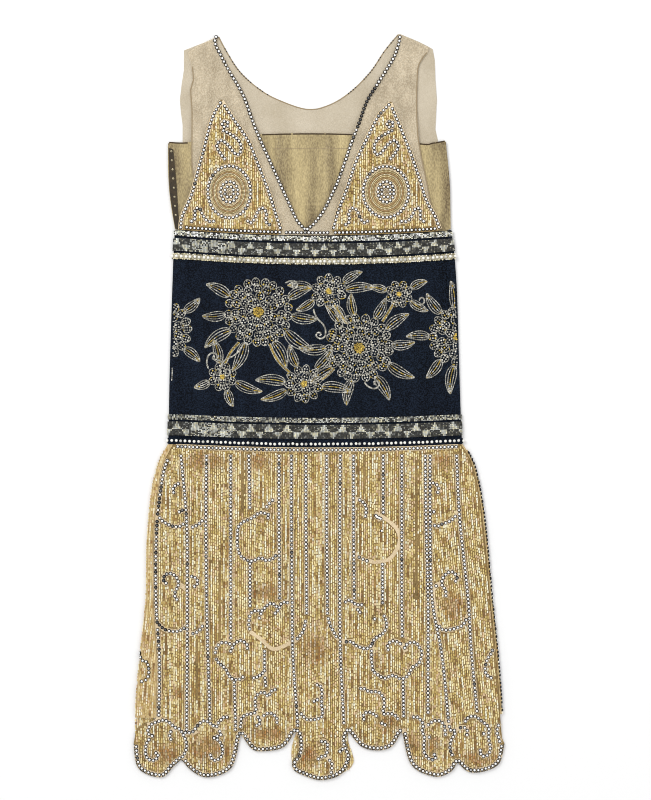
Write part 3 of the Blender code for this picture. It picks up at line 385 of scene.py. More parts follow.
# Looks of the cloths: look, material, roughness, other inputs, dark and light colour, lengths of the
# fine and the broad noise in mm, share of the broad one, relief in mm, half the range of the fine one
CLOTHS = (
    ("chiffon", "chiffon_front", 0.85, {"Alpha": 0.5, "Sheen_Weight": 0.15},
     (184, 168, 140), (250, 235, 206), (1.6, 2.2, 1.6), (18, 40, 30), 0.5, 0.3, 0.12),
    ("chiffon_back", "chiffon_back", 0.85, {"Alpha": 0.8, "Sheen_Weight": 0.15},
     (194, 180, 154), (226, 214, 192), (1.2, 1.6, 1.2), (40, 60, 40), 0.5, 0.3, 0.2),
    # The silk's upright streaks from the broad noise are painted shade of its soft folds
    ("silk", "gold_silk", 0.42, {"Sheen_Weight": 0.2},
     (70, 50, 20), (208, 188, 136), (1.6, 4, 1.6), (24, 120, 20), 0.7, 0.2, 0.14),
    ("placket", "placket", 0.7, {},
     (26, 20, 12), (74, 60, 36), (0.8, 0.8, 0.8), (8, 8, 8), 0.5, 0.2, 0.2),
    # The net is darkened to brown: painted shade in the gaps between the bugles that lie on it
    ("net", "net", 0.8, {},
     (96, 76, 40), (172, 144, 92), (1.6, 3.0, 1.6), (30, 40, 30), 0.45, 0.3, 0.2),
    ("strip", "bare_net", 0.8, {},
     (190, 166, 128), (246, 226, 190), (1.2, 1.2, 1.2), (20, 30, 20), 0.4, 0.2, 0.2),
    ("back_net", "back_net", 0.7, {},
     (150, 118, 66), (222, 198, 146), (3.0, 9, 3.0), (60, 90, 30), 0.3, 0.3, 0.2),
    # The crepe's long upright streaks from the broad noise are painted shade of soft wrinkles; the fine
    # speckle is its grain
    ("crepe", "navy_crepe", 0.8, {"Specular_IOR_Level": 0.1},
     (0, 2, 6), (34, 43, 57), (1.7, 1.7, 1.7), (24, 200, 60), 0.3, 0.5, 0.1),
    ("trim_ground", "trim_ground", 0.6, {"Specular_IOR_Level": 0.2},
     (20, 21, 22), (96, 96, 88), (1.2, 0.8, 1.0), (20, 20, 20), 0.3, 0.2, 0.2),
    ("bead_ground", "bead_ground", 0.5, {},
     (90, 82, 62), (226, 218, 190), (1.6, 1.6, 1.6), (16, 16, 16), 0.3, 0.3, 0.2),
)

# The stage, in metres. Lights: name, place, size, power
LIGHTS = (("key", (-1.6, 1.8, 2.4), 1.4, 46), ("fill", (2.0, -0.6, 2.2), 1.8, 12))
SKY_STRENGTH = 0.78
FLOOR_HALF = 6.0
FLOOR_LOWER = 0.0004
LENS, SENSOR, SEEN_HEIGHT = 85.0, 36.0, 1.16
CAMERA_X, CAMERA_Y = 0.0094, 0.0100

# Trims: cell of a woven float, width and first place of the stepped triangles, pitches of the beads,
# how far a trim runs on round a side fold, and how far its sheet stays inside the solid
FLOAT_CELL = (2.1, 1.6)
TRIANGLE_WIDTH, TRIANGLE_FIRST = 26.7, -19.2
LARGE_BEAD_PITCH, SMALL_BEAD_PITCH = 6.5, 2.6
TRIM_WRAP = 5.2
TAPE_INSET = 0.35

SNAP_PITCH = 13.2
# Share of the skirt's bugles that have come off
MISSING_BUGLES = 0.012
# Width of a thread of the embroidery
CORD = 1.4
# Direction in the plan of what lies across the gown
ACROSS = (1.0, 0.0)
# Ring of stones round a medallion's heart, and the one above it: x, drop, radius
HEART_RING = (6.6, 8.0)
SMALL_RING = np.array((-6, -98, 4.4))

# Flowers of the band: x, drop, radius, rings of petals
BLOSSOMS = (
    (-88, 404, 50, 4),
    (58, 456, 50, 4),
    (14, 374, 26, 2),
    (-22, 508, 28, 2),
    (116, 378, 20, 2),
    (-140, 498, 21, 2),
    (202, 440, 44, 3),
    (-228, 430, 44, 3),
)
# Leaves round each flower: number of the flower, heading, length, width, bend
LEAVES = (
    (0, 152, 38, 15, 30), (0, 184, 34, 14, -30), (0, 214, 46, 16, 40), (0, 246, 46, 16, -35),
    (0, 296, 44, 16, -40), (0, 326, 50, 17, 45), (0, 354, 40, 15, 35), (0, 24, 38, 14, -35),
    (1, 6, 34, 14, 35), (1, 34, 40, 15, -30), (1, 62, 34, 14, 30), (1, 98, 32, 13, -35),
    (1, 128, 30, 13, 30), (1, 180, 40, 15, -35), (1, 216, 40, 15, 30), (1, 258, 38, 14, 40),
    (1, 300, 40, 15, -30), (1, 332, 44, 15, 35),
    (2, 4, 44, 14, -30), (2, 30, 32, 12, -35), (2, 172, 36, 13, 35), (2, 210, 30, 12, -35),
    (2, 300, 30, 12, 30),
    (3, 176, 44, 15, 30), (3, 200, 40, 13, -30), (3, 350, 44, 15, -35), (3, 52, 40, 14, 35),
    (3, 110, 34, 13, -30),
    (4, 24, 26, 12, -40), (4, 330, 30, 12, 30), (4, 168, 26, 11, 40),
    (5, 340, 42, 14, 35), (5, 104, 36, 13, 30), (5, 200, 24, 12, -30), (5, 290, 26, 12, 25),
    (6, 98, 40, 14, 30), (6, 126, 36, 14, -30), (6, 180, 34, 13, 30), (6, 232, 34, 14, -30),
    (6, 262, 42, 15, 30),
    (7, 84, 36, 14, -30), (7, 40, 30, 13, 30), (7, 320, 30, 13, -30), (7, 280, 36, 15, 30),
)
STEMS = (
    ((-136, 478), (-128, 462), (-116, 448)),
    ((-72, 450), (-60, 474), (-42, 492)),
    ((4, 502), (14, 494), (22, 486)),
    ((22, 394), (32, 408), (38, 418)),
    ((110, 388), (102, 402), (92, 418)),
)
# Tendrils: x, drop, heading, then length and turn of each arc
TENDRILS = (
    (-110, 450, -110, ((30, -50), (24, 70), (18, 130), (12, 150), (7, 150))),
    (-8, 400, -80, ((22, 40), (20, -60), (16, -130), (10, -150), (6, -150))),
    (66, 506, -60, ((16, 50), (14, 110), (10, 150), (6, 150))),
    (134, 388, -50, ((16, 60), (12, 130), (8, 150))),
    (-160, 486, 120, ((20, -60), (16, -130), (10, -150), (6, -150))),
    (-48, 362, 40, ((14, -60), (12, -130), (8, -150))),
)

# What the folds at the sides of a back piece take: its sides, radius and thickness
BAND = (BAND_SIDES, BAND_FOLD, CREPE)
SKIRT = (SKIRT_SIDES, SKIRT_FOLD, BEADED)


def pairs(x, drop):
    """Places in the plan."""
    return np.column_stack(np.broadcast_arrays(x, drop))


def unit(rows):
    return rows / np.maximum(np.linalg.norm(rows, axis=1), 1e-9)[:, None]


def shaded(colour, shades):
    """A row of the colour for each shade."""
    return np.array(colour) * shades[:, None]


def prism(sides, length, width, height):
    """A rod with a flat underside and rounded top."""
    turns = np.linspace(0, math.pi, sides)
    section = pairs(width / 2 * np.cos(turns), height * np.sin(turns) ** 0.8)
    points = [(end * length / 2, *spot) for end in (-1, 1) for spot in section]
    faces = [(i, i + 1, sides + i + 1, sides + i) for i in range(sides - 1)]
    faces.append((sides - 1, 0, sides, 2 * sides - 1))
    faces += [tuple(range(sides))[::-1], tuple(range(sides, 2 * sides))]
    return points, faces


def dome(profile, sides):
    """A turned shape: rings of radius and height from the foot up, closed at both ends."""
    points, faces = [], []
    for radius, height in profile:
        for i in range(sides):
            a = 2 * math.pi * (i + 0.5) / sides
            points.append((radius * math.cos(a), radius * math.sin(a), height))
    for level in range(len(profile) - 1):
        low, high = level * sides, (level + 1) * sides
        for i in range(sides):
            j = (i + 1) % sides
            faces.append((low + i, low + j, high + j, high + i))
    faces.append(tuple(range(sides))[::-1])
    faces.append(tuple(range((len(profile) - 1) * sides, len(profile) * sides)))
    return points, faces


def grain(length, width, height):
    """A stitch: a thread that dips into the cloth at both ends."""
    points = [(-length / 2, 0, -0.1), (length / 2, 0, -0.1)]
    for x in (-0.28 * length, 0.28 * length):
        points += [(x, width / 2, 0), (x, 0, height), (x, -width / 2, 0)]
    faces = [(2, 3, 6, 5), (3, 4, 7, 6), (0, 3, 2), (0, 4, 3), (1, 5, 6), (1, 6, 7)]
    return points, faces


def linear(red, green, blue):
    """Linear colour of an sRGB one given from 0 to 255."""
    return tuple((channel / 255) ** 2.2 for channel in (red, green, blue))


# Shapes repeated many times, as points in mm with faces. Each lies along its own x.
STONE = dome(((1.85, 1.2), (1.35, 2.2)), 8)
CUP = dome(((2.75, -0.2), (2.75, 0.8), (2.3, 1.35), (1.8, 1.2)), 8)
BUGLE = prism(5, 1.0, 1.0, 0.62)
ROUND_BEAD = dome(((0.85, 0.0), (1.0, 0.45), (0.85, 0.95), (0.45, 1.3)), 8)
SEED = dome(((0.9, 0.0), (1.0, 0.4), (0.62, 0.95)), 6)
FLOAT = dome(((1.0, 0.0), (0.78, 0.55)), 4)
SNAP = dome(((1.5, 0.0), (1.5, 0.5), (0.9, 0.6), (0.8, 1.0), (0.4, 1.2)), 10)
STITCH = grain(1.0, 1.0, 1.0)

# Colours of the bugles from light to dark, with their shares; the first, near white, is a painted highlight
# for glints on the glass
BUGLE_COLOURS = np.array([
    linear(255, 250, 222), linear(248, 234, 184), linear(236, 216, 156), linear(228, 198, 158),
    linear(216, 192, 124), linear(200, 174, 102), linear(174, 138, 76), linear(132, 98, 52),
])
BUGLE_SHARES = (0.13, 0.21, 0.18, 0.12, 0.14, 0.11, 0.08, 0.03)
# Brown that some bugles are mixed towards; on the skirt's front this mix is painted shade
BROWN = np.array(linear(150, 92, 30))

# Colours of the stones, beads and woven floats
STONE_WHITE = linear(255, 255, 253)
CUP_BLACK = linear(30, 28, 30)
FRINGE_DARK = linear(58, 52, 44)
NECK_DARK = linear(40, 36, 32)
HEART_SHADE = linear(240, 232, 214)
LARGE_WHITE = linear(246, 244, 236)
SMALL_SHADES = np.array([
    linear(232, 222, 184), linear(150, 138, 104), linear(250, 246, 232), linear(46, 42, 36),
])
WEAVE_SILVER, WEAVE_CREAM = np.array(linear(226, 228, 220)), np.array(linear(246, 240, 208))
MEDALLION_SHADES = (
    linear(240, 226, 188), linear(206, 172, 126), linear(232, 216, 166), linear(240, 228, 192),
    linear(200, 166, 122), linear(228, 212, 162), linear(238, 224, 186),
)
# Threads of the embroidery
SILVER = (linear(255, 252, 240), linear(236, 232, 216), linear(206, 202, 186))
GOLD = (linear(240, 208, 96), linear(220, 184, 76))
MIXED = SILVER * 3 + GOLD[:1]


def smooth_step(t):
    t = np.clip(t, 0.0, 1.0)
    return t * t * (3 - 2 * t)


def along(table, at, column=1):
    """Reads a column of a table at these drops, on a smooth curve through its rows."""
    rows = np.array([(row[0], row[column]) for row in table], float)
    drops, values = rows.T
    first = np.maximum(np.arange(len(rows)) - 1, 0)
    last = np.minimum(np.arange(len(rows)) + 1, len(rows) - 1)
    slopes = (values[last] - values[first]) / (drops[last] - drops[first])
    at = np.clip(np.asarray(at, float), drops[0], drops[-1])
    row = np.clip(np.searchsorted(drops, at, side="right") - 1, 0, len(rows) - 2)
    span = drops[row + 1] - drops[row]
    t = (at - drops[row]) / span
    return (
        (2 * t**3 - 3 * t**2 + 1) * values[row]
        + (t**3 - 2 * t**2 + t) * span * slopes[row]
        + (3 * t**2 - 2 * t**3) * values[row + 1]
        + (t**3 - t**2) * span * slopes[row + 1]
    )


def curve(points, step):
    """Points every step or so along a Catmull-Rom curve through these points."""
    points = np.array(points, float)
    made = [points[0]]
    for i in range(len(points) - 1):
        before, start = points[max(0, i - 1)], points[i]
        end, after = points[i + 1], points[min(len(points) - 1, i + 2)]
        pieces = max(1, round(float(np.linalg.norm(end - start)) / step))
        for piece in range(1, pieces + 1):
            t = piece / pieces
            made.append(
                0.5
                * (
                    2 * start
                    + (end - before) * t
                    + (2 * before - 5 * start + 4 * end - after) * t * t
                    + (3 * start - before - 3 * end + after) * t**3
                )
            )
    return np.array(made)


def steps(first, last, step):
    """Evenly spaced values from first to last, about step apart."""
    count = max(1, round(abs(last - first) / step))
    return np.linspace(first, last, count + 1)


def stroke(x, drop, heading, arcs, step=2.0):
    """A chain of arcs, as points about step apart."""
    points = [np.array((x, drop), float)]
    angle = math.radians(heading)
    for length, turn in arcs:
        count = max(1, math.ceil(max(length / step, abs(turn) / 12)))
        bend = math.radians(turn) / count
        for _ in range(count):
            angle += bend / 2
            points.append(points[-1] + np.array((math.cos(angle), -math.sin(angle))) * length / count)
            angle += bend / 2
    return np.array(points)


def ring(x, drop, width, height, count=60):
    """A closed oval of points."""
    turns = np.linspace(0, 2 * math.pi, count + 1)
    return pairs(x + width * np.cos(turns), drop + height * np.sin(turns))


def headings(line):
    """Unit directions at the points of a line."""
    return unit(np.gradient(line, axis=0))


def beside(line, offset):
    """The line moved sideways by the offset."""
    run = headings(np.asarray(line, float))
    return line + pairs(-run[:, 1], run[:, 0]) * offset


def spaced(line, pitch, closed=False):
    """Places and directions at even distances along a line."""
    gaps = np.linalg.norm(np.diff(line, axis=0), axis=1)
    walked = np.concatenate([[0], np.cumsum(gaps)])
    count = max(1, round(walked[-1] / pitch))
    wanted = (np.arange(count) + (0 if closed else 0.5)) * walked[-1] / count

    def spots(at):
        return np.column_stack([np.interp(at, walked, line[:, i]) for i in (0, 1)])

    ahead, behind = spots(np.minimum(wanted + 0.5, walked[-1])), spots(np.maximum(wanted - 0.5, 0))
    return spots(wanted), unit(ahead - behind)


def inside(points, outline):
    """True for each point within the closed outline."""
    x, y = points[:, 0, None], points[:, 1, None]
    x1, y1 = outline.T
    x2, y2 = np.roll(outline, 1, axis=0).T
    rise = np.where(y1 == y2, 1e-9, y2 - y1)
    crossed = ((y1 > y) != (y2 > y)) & (x < (x2 - x1) * (y - y1) / rise + x1)
    return crossed.sum(axis=1) % 2 == 1


class Near:
    """Distances to lines, by points close together on them."""

    def __init__(self, lines):
        dots = np.vstack([spaced(np.asarray(line, float), 1.2)[0] for line in lines])
        self.tree = KDTree(len(dots))
        for i, (x, y) in enumerate(dots):
            self.tree.insert((x, y, 0), i)
        self.tree.balance()

    def __call__(self, points):
        return np.array([self.tree.find((x, y, 0))[2] for x, y in points])


def band_top(x):
    return BAND_TOP + BAND_TOP_SAG * (1 - np.minimum(1.0, np.abs(x) / BAND_HALF_WIDTH) ** 2)


def band_bottom(x):
    return BAND_BOTTOM + BAND_BOTTOM_SAG * (1 - np.minimum(1.0, np.abs(x) / BAND_HALF_WIDTH) ** 2)


def swell(folds, x, drop):
    """Height of the soft folds at these places."""
    height = 0.0
    for fold_x, top, bottom, width, rise in folds:
        across = np.minimum(np.abs(x - fold_x) / (width / 2), 1.0)
        down = np.clip((drop - top) / (bottom - top), 0.0, 1.0)
        ends = smooth_step(np.minimum(down, 1 - down) / 0.25)
        height = height + rise * ends * np.cos(across * math.pi / 2) ** 2
    return height


def ripples(x, drop, across, down, height, seed):
    """Small uneven waves of about these lengths across and down the cloth."""
    rng = np.random.default_rng(seed)
    total = 0.0
    for _ in range(7):
        a = 2 * math.pi / (across * rng.uniform(0.6, 1.7))
        b = 2 * math.pi / (down * rng.uniform(0.6, 1.7)) * rng.choice((-1, 1))
        total = total + np.sin(a * x + b * drop + rng.uniform(0, 6.28))
    return height * total / 3.5


def gold_base(x, drop):
    return GOLD_FRONT_BASE + swell(GOLD_FOLDS, x, drop)


def chiffon_base(x, drop):
    over_gold = gold_base(x, drop) + SILK + SOFT_GAP
    over_back = CHIFFON + SOFT_GAP
    return over_back + (over_gold - over_back) * smooth_step((drop - 108) / 32)


def chiffon_back_top(x, drop):
    return 0.7 + ripples(x, drop, 60, 90, 0.25, 3)


def silk_top(x, drop):
    fine = ripples(x, drop, 16, 120, 0.22, 5) + ripples(x, drop, 9, 60, 0.08, 6)
    crease = -0.7 * np.exp(-(((x + 21 - (drop - 230) * 0.1) / 3.5) ** 2)) * smooth_step((drop - 215) / 25)
    for fold_x, depth in SILK_CREASES:
        crease = crease - depth * np.exp(-(((x - fold_x - ripples(x, drop, 300, 90, 1.2, 9)) / 2.6) ** 2))
    return gold_base(x, drop) + 0.75 + fine + crease


def chiffon_top(x, drop):
    fine = ripples(x, drop, 34, 70, 0.24, 11) + ripples(x, drop, 11, 16, 0.07, 12)
    return chiffon_base(x, drop) + 0.9 + fine


def point_top(x, drop):
    return chiffon_base(x, drop) + CHIFFON + SOFT_GAP + NET + ripples(x, drop, 30, 30, 0.08, 13)


def band_surface(x, drop):
    """Top of the navy crepe, the parts that turn over at the sides included."""
    middle = smooth_step((190 - np.abs(x + 4)) / 22)
    fine = ripples(x, drop, 26, 150, 0.22, 17) + ripples(x, drop, 60, 30, 0.12, 18)
    pressed = 2 * BAND_FOLD
    return pressed + swell(BAND_FOLDS, x, drop) + fine * middle


def skirt_base(x, drop):
    rest = smooth_step((drop - 985) / 45)
    return SKIRT_FRONT_BASE + (HEM_REST - SKIRT_FRONT_BASE) * rest + swell(SKIRT_FOLDS, x, drop)


def skirt_top(x, drop):
    away = x + 214
    fade = np.exp(-((away / 11) ** 2))
    gathers = 0.7 * np.cos(away * 0.9) ** 2 * fade * np.exp(-(((drop - 628) / 20) ** 2))
    return skirt_base(x, drop) + NET + ripples(x, drop, 22, 120, 0.16, 21) + gathers


def place(x, drop, z):
    """Points in metres."""
    x, drop, z = np.broadcast_arrays(x, drop, z)
    return np.column_stack([x, LENGTH / 2 - drop, z]) * MM


def on_top(height, lift=0.0):
    """Gives points and normals on a layer, over places in the plan."""

    def surface(plan):
        x, drop = plan[:, 0], plan[:, 1]
        across = (height(x + 1, drop) - height(x - 1, drop)) / 2
        up = -(height(x, drop + 1) - height(x, drop - 1)) / 2
        normal = unit(np.column_stack([-across, -up, np.ones(len(x))]))
        return place(x, drop, height(x, drop)) + normal * lift * MM, normal

    return surface


def over_fold(sides, radius, thickness, depth_change=0.0):
    """Points and normals on a back piece that turns over at both sides, at plan places s and drop."""
    mid_radius = radius - thickness / 2

    def surface(plan):
        s, drop = plan[:, 0], plan[:, 1]
        left, right = along(sides, drop, 1) + radius, along(sides, drop, 2) - radius
        turn = np.where(s < (left + right) / 2, -1.0, 1.0)
        start = np.where(turn < 0, left, right)
        over = np.maximum(0.0, (s - start) * turn)
        angle = np.minimum(over / mid_radius, math.pi)
        depth = radius - depth_change
        back = np.maximum(0.0, over - math.pi * mid_radius)
        x = np.where(over == 0, s, start) + turn * (depth * np.sin(angle) - back)
        normal = np.column_stack([turn * np.sin(angle), np.zeros(len(s)), -np.cos(angle)])
        return place(x, drop, radius - depth * np.cos(angle)), normal

    return surface


def turned_place(sides, radius, thickness, x, drop, turn):
    """Plan place s of a point that shows at x on the part that turns over."""
    start = along(sides, drop, 1) + radius if turn < 0 else along(sides, drop, 2) - radius
    return start + turn * (math.pi * (radius - thickness / 2) + (start - x) * turn)


def mesh_object(name, points, loops, sizes, look, tints=None, smooth=True):
    mesh = bpy.data.meshes.new(name)
    mesh.vertices.add(len(points))
    mesh.vertices.foreach_set("co", np.asarray(points, np.float32).ravel())
    mesh.loops.add(len(loops))
    mesh.loops.foreach_set("vertex_index", np.asarray(loops, np.int32))
    mesh.polygons.add(len(sizes))
    starts = np.concatenate([[0], np.cumsum(sizes)[:-1]])
    mesh.polygons.foreach_set("loop_start", starts.astype(np.int32))
    mesh.update(calc_edges=True)
    mesh.validate()
    if tints is not None:
        colours = np.ones((len(points), 4), np.float32)
        colours[:, :3] = tints
        layer = mesh.color_attributes.new("tint", "FLOAT_COLOR", "POINT")
        layer.data.foreach_set("color", colours.ravel())
    mesh.materials.append(LOOKS[look])
    if smooth:
        mesh.shade_smooth()
    obj = bpy.data.objects.new(name, mesh)
    bpy.context.scene.collection.objects.link(obj)
    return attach(obj, BODY)


def scatter(name, shape, spots, look, tints=None, scales=1.0, runs=ACROSS, smooth=True):
    """Many copies of a shape in one mesh. Spots are their points and normals, and each copy lies along
    its run in the plan."""
    base, faces = np.array(shape[0], float), shape[1]
    points, normals = spots
    count = len(points)
    runs = np.broadcast_to(runs, (count, 2))
    forward = np.column_stack([runs[:, 0], -runs[:, 1], np.zeros(count)])
    forward = unit(forward - normals * (forward * normals).sum(axis=1)[:, None])
    side = np.cross(normals, forward)
    sizes = np.broadcast_to(scales, (count, 3))
    local = base[None, :, :] * sizes[:, None, :] * MM
    made = (
        points[:, None, :]
        + local[:, :, :1] * forward[:, None, :]
        + local[:, :, 1:2] * side[:, None, :]
        + local[:, :, 2:] * normals[:, None, :]
    )
    loops = np.array([i for face in faces for i in face])
    loops = (loops[None, :] + np.arange(count)[:, None] * len(base)).ravel()
    face_sizes = np.tile([len(face) for face in faces], count)
    spread = None if tints is None else np.repeat(np.asarray(tints, float), len(base), axis=0)
    obj = mesh_object(name, made.reshape(-1, 3), loops, face_sizes, look, spread, smooth)
    if smooth:
        obj.data.set_sharp_from_angle(angle=math.radians(50))


def plan_mesh(outline, spacing, creases=()):
    """Plan points and triangles inside an outline, on a staggered grid with creases."""
    across, down = spacing
    low, high = outline.min(axis=0), outline.max(axis=0)
    grid = []
    for row, y in enumerate(steps(low[1], high[1], down)):
        xs = steps(low[0] + (row % 2) * across / 2, high[0], across)
        grid.append(pairs(xs, y))
    grid = np.vstack(grid)
    grid = grid[inside(grid, outline)]
    lines = [np.vstack([outline, outline[:1]]), *creases]
    grid = grid[Near(lines)(grid) > across * 0.45]
    points = [tuple(p) for p in outline]
    edges = []
    for line in creases:
        for i, spot in enumerate(line):
            points.append(tuple(spot))
            if i:
                edges.append((len(points) - 2, len(points) - 1))
    points += [tuple(p) for p in grid]
    rim_count = len(outline)
    plan, _, faces, origins = delaunay_2d_cdt(
        [Vector((float(x), float(y))) for x, y in points], edges, [list(range(rim_count))], 1, 0.01
    )[:4]
    where = {source: i for i, sources in enumerate(origins) for source in sources}
    plan = np.array([(p[0], p[1]) for p in plan])
    faces = np.array([face for face in faces if len(face) == 3])
    faces = faces[inside(plan[faces].mean(axis=1), outline)]
    return plan, faces, np.array([where[i] for i in range(rim_count)])


def cloth(name, node, slot, outline, spacing, outer, inner, look, creases=()):
    """A thin closed shell of cloth that stands for one CAD piece."""
    outline = np.asarray(outline, float)
    plan, faces, rim = plan_mesh(outline, spacing, creases)
    count = len(plan)
    points = np.vstack([outer(plan)[0], inner(plan)[0]])
    nxt = np.roll(rim, -1)
    sides = np.column_stack([rim, nxt, nxt + count, rim + count])
    loops = np.concatenate([faces.ravel(), (faces[:, ::-1] + count).ravel(), sides.ravel()])
    sizes = np.concatenate([np.full(2 * len(faces), 3), np.full(len(sides), 4)])
    obj = mesh_object(name, points, loops, sizes, look)
    shape = bmesh.new()
    shape.from_mesh(obj.data)
    loose = [vert for vert in shape.verts if not vert.link_faces]
    bmesh.ops.delete(shape, geom=loose, context="VERTS")
    bmesh.ops.recalc_face_normals(shape, faces=shape.faces)
    shape.to_mesh(obj.data)
    shape.free()
    obj.data.shade_smooth()
    obj.data.set_sharp_from_angle(angle=math.radians(60))
    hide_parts(node)
    return obj


def new_look(name, colour, roughness, metallic=0.0, **inputs):
    made = bpy.data.materials.new(name)
    made.use_nodes = True
    shader = made.node_tree.nodes["Principled BSDF"]
    shader.inputs["Base Color"].default_value = (*colour, 1.0)
    shader.inputs["Roughness"].default_value = roughness
    shader.inputs["Metallic"].default_value = metallic
    for key, value in inputs.items():
        shader.inputs[key.replace("_", " ")].default_value = value
    return made


def tinted(look):
    """Takes the colour of each bead, stone or stitch from its own tint."""
    tree = look.node_tree
    tint = tree.nodes.new("ShaderNodeAttribute")
    tint.attribute_name = "tint"
    tree.links.new(tint.outputs["Color"], tree.nodes["Principled BSDF"].inputs["Base Color"])
    return look


def noise(tree, lengths, detail, half=0.2):
    """A noise with these lengths in mm across, down and up."""
    coordinates = tree.nodes.new("ShaderNodeTexCoord")
    mapping = tree.nodes.new("ShaderNodeMapping")
    mapping.inputs["Scale"].default_value = [1 / (length * MM) for length in lengths]
    texture = tree.nodes.new("ShaderNodeTexNoise")
    texture.inputs["Scale"].default_value = 1.0
    texture.inputs["Detail"].default_value = detail
    tree.links.new(coordinates.outputs["Object"], mapping.inputs["Vector"])
    tree.links.new(mapping.outputs["Vector"], texture.inputs["Vector"])
    spread = tree.nodes.new("ShaderNodeMapRange")
    spread.inputs["From Min"].default_value = 0.5 - half
    spread.inputs["From Max"].default_value = 0.5 + half
    tree.links.new(texture.outputs[0], spread.inputs["Value"])
    return spread.outputs["Result"]


def woven(look, dark, light, fine, broad, share, relief, half=0.2):
    """Colours a cloth from dark to light by a fine and a broad noise; the fine one also raises it."""
    tree = look.node_tree
    shader = tree.nodes["Principled BSDF"]
    small, large = noise(tree, fine, 2.0, half), noise(tree, broad, 3.0)
    blend = tree.nodes.new("ShaderNodeMix")
    blend.inputs[0].default_value = share
    tree.links.new(small, blend.inputs[2])
    tree.links.new(large, blend.inputs[3])
    colours = tree.nodes.new("ShaderNodeMix")
    colours.data_type = "RGBA"
    colours.inputs[6].default_value = (*dark, 1)
    colours.inputs[7].default_value = (*light, 1)
    tree.links.new(blend.outputs[0], colours.inputs[0])
    tree.links.new(colours.outputs[2], shader.inputs["Base Color"])
    bump = tree.nodes.new("ShaderNodeBump")
    bump.inputs["Strength"].default_value = 1.0
    bump.inputs["Distance"].default_value = relief * MM
    tree.links.new(small, bump.inputs["Height"])
    tree.links.new(bump.outputs["Normal"], shader.inputs["Normal"])
    return look


def make_looks():
    cloths = {
        look: woven(new_look(material, (1, 1, 1), roughness, **inputs), linear(*dark), linear(*light), *rest)
        for look, material, roughness, inputs, dark, light, *rest in CLOTHS
    }
    return cloths | {
        "bugle": tinted(
            new_look("bugle_beads", (1, 1, 1), 0.26, 0.15, Coat_Weight=0.5, Coat_Roughness=0.12)
        ),
        "stone": tinted(new_look("cut_stones", (1, 1, 1), 0.12, Coat_Weight=0.6, Coat_Roughness=0.05)),
        "cup": tinted(new_look("stone_cups", (1, 1, 1), 0.5, Specular_IOR_Level=0.08)),
        "bead": tinted(new_look("round_beads", (1, 1, 1), 0.16, Coat_Weight=0.5, Coat_Roughness=0.08)),
        "thread": tinted(new_look("thread", (1, 1, 1), 0.5, 0.1, Sheen_Weight=0.1)),
        "edge": new_look("rolled_edge", linear(150, 132, 104), 0.8),
        "dark_edge": new_look("dark_edge", linear(62, 48, 28), 0.8),
        "metal": new_look("snap_metal", linear(168, 158, 130), 0.35, 0.8),
    }


def bodice_back_outline():
    right = np.vstack([
        curve(((117, 0), (146, 12), (165, 22)), 12),
        curve(((168, 38), (169, 67), (171, 96), (169, 139), (173, 157), (181, 220), (186, 283)), 20),
    ])
    xs = steps(184, -203, 24)
    bottom = pairs(xs, band_top(xs) - SEAM_GAP)
    left = curve(((-204, 284), (-200, 220), (-198, 157), (-198, 132), (-202, 96), (-196, 52)), 20)
    shoulder = curve(((-196, 24), (-173, 15), (-154, 8)), 12)
    return np.vstack([back_neck(), right, bottom[1:-1], left, shoulder])


def back_neck():
    return curve(((-145, 4), (-135, 23), (-115, 54), (-86, 80), (-57, 96), (-16, 109), (16, 102), (45, 84),
                  (74, 55), (95, 24), (114, 1)), 6)


def v_edges():
    """Both edges of the V neck, left and right."""
    left = curve(((-146, 3), (-149, 11), (-147, 18), (-142, 27), (-130, 50), (-109, 86), (-98, 115),
                  (-88, 142), (-66, 191), (-48, 231), (-29, 272), (-20, 282)), 6)
    right = curve(((-17, 283), (-14, 280), (2, 260), (15, 236), (28, 206), (44, 160), (57, 126), (67, 98),
                   (82, 73), (105, 36), (111, 21), (114, 11), (115, 2)), 6)
    return left, right


def armholes():
    """Both armhole edges of the front, from the band up at the left and down at the right."""
    left = curve(((-198, 283), (-190, 252), (-182, 226), (-181, 214), (-185, 190), (-185, 117), (-187, 81),
                  (-183, 67), (-185, 48)), 8)
    right = curve(((157, 28), (146, 44), (143, 70), (143, 132), (147, 168), (156, 212), (163, 248),
                   (173, 282)), 8)
    return left, right


def bodice_front_outline():
    left_v, right_v = v_edges()
    left, right = armholes()
    right_shoulder = curve(((119, 2), (132, 7), (146, 14), (160, 20)), 8)
    xs = steps(174, -199, 10)
    bottom = pairs(xs, band_top(xs) - SEAM_GAP)
    left_shoulder = curve(((-190, 27), (-173, 16), (-156, 8)), 8)
    return np.vstack([left_v, right_v, right_shoulder, right, bottom[1:-1], left, left_shoulder])


def gold_top(inset, step):
    return curve(((-217 + inset, 157), (-183, 157), (-86, 146), (55, 146), (146, 159), (165, 158),
                  (182 - inset, 155)), step)


def gold_outline(inset, top_drop, step):
    right = curve(((184 - inset, 155), (185 - inset, 168), (188 - inset, 197), (190 - inset, 226),
                   (191 - inset, 283)), step)
    left = curve(((-209 + inset, 284), (-215 + inset, 248), (-218 + inset, 219), (-219 + inset, 190),
                  (-219 + inset, 157)), step)
    top = gold_top(inset, step) + np.array((0, top_drop))
    xs = steps(190 - inset, -208 + inset, step)
    bottom = pairs(xs, band_top(xs) - SEAM_GAP)
    return np.vstack([top, right[1:], bottom[1:-1], left[:-1]])


def point_outline(sizes):
    left, right = curve(sizes["left"], 5), curve(sizes["right"], 5)
    xs = steps(left[-1, 0], right[-1, 0], 6)[1:-1]
    return np.vstack([left, pairs(xs, band_top(xs) - SEAM_GAP), right[::-1]])


def bend(sides, radius, thickness, turn, drop, share):
    start = along(sides, drop, 1) + radius if turn < 0 else along(sides, drop, 2) - radius
    return start + turn * math.pi * (radius - thickness / 2) * share


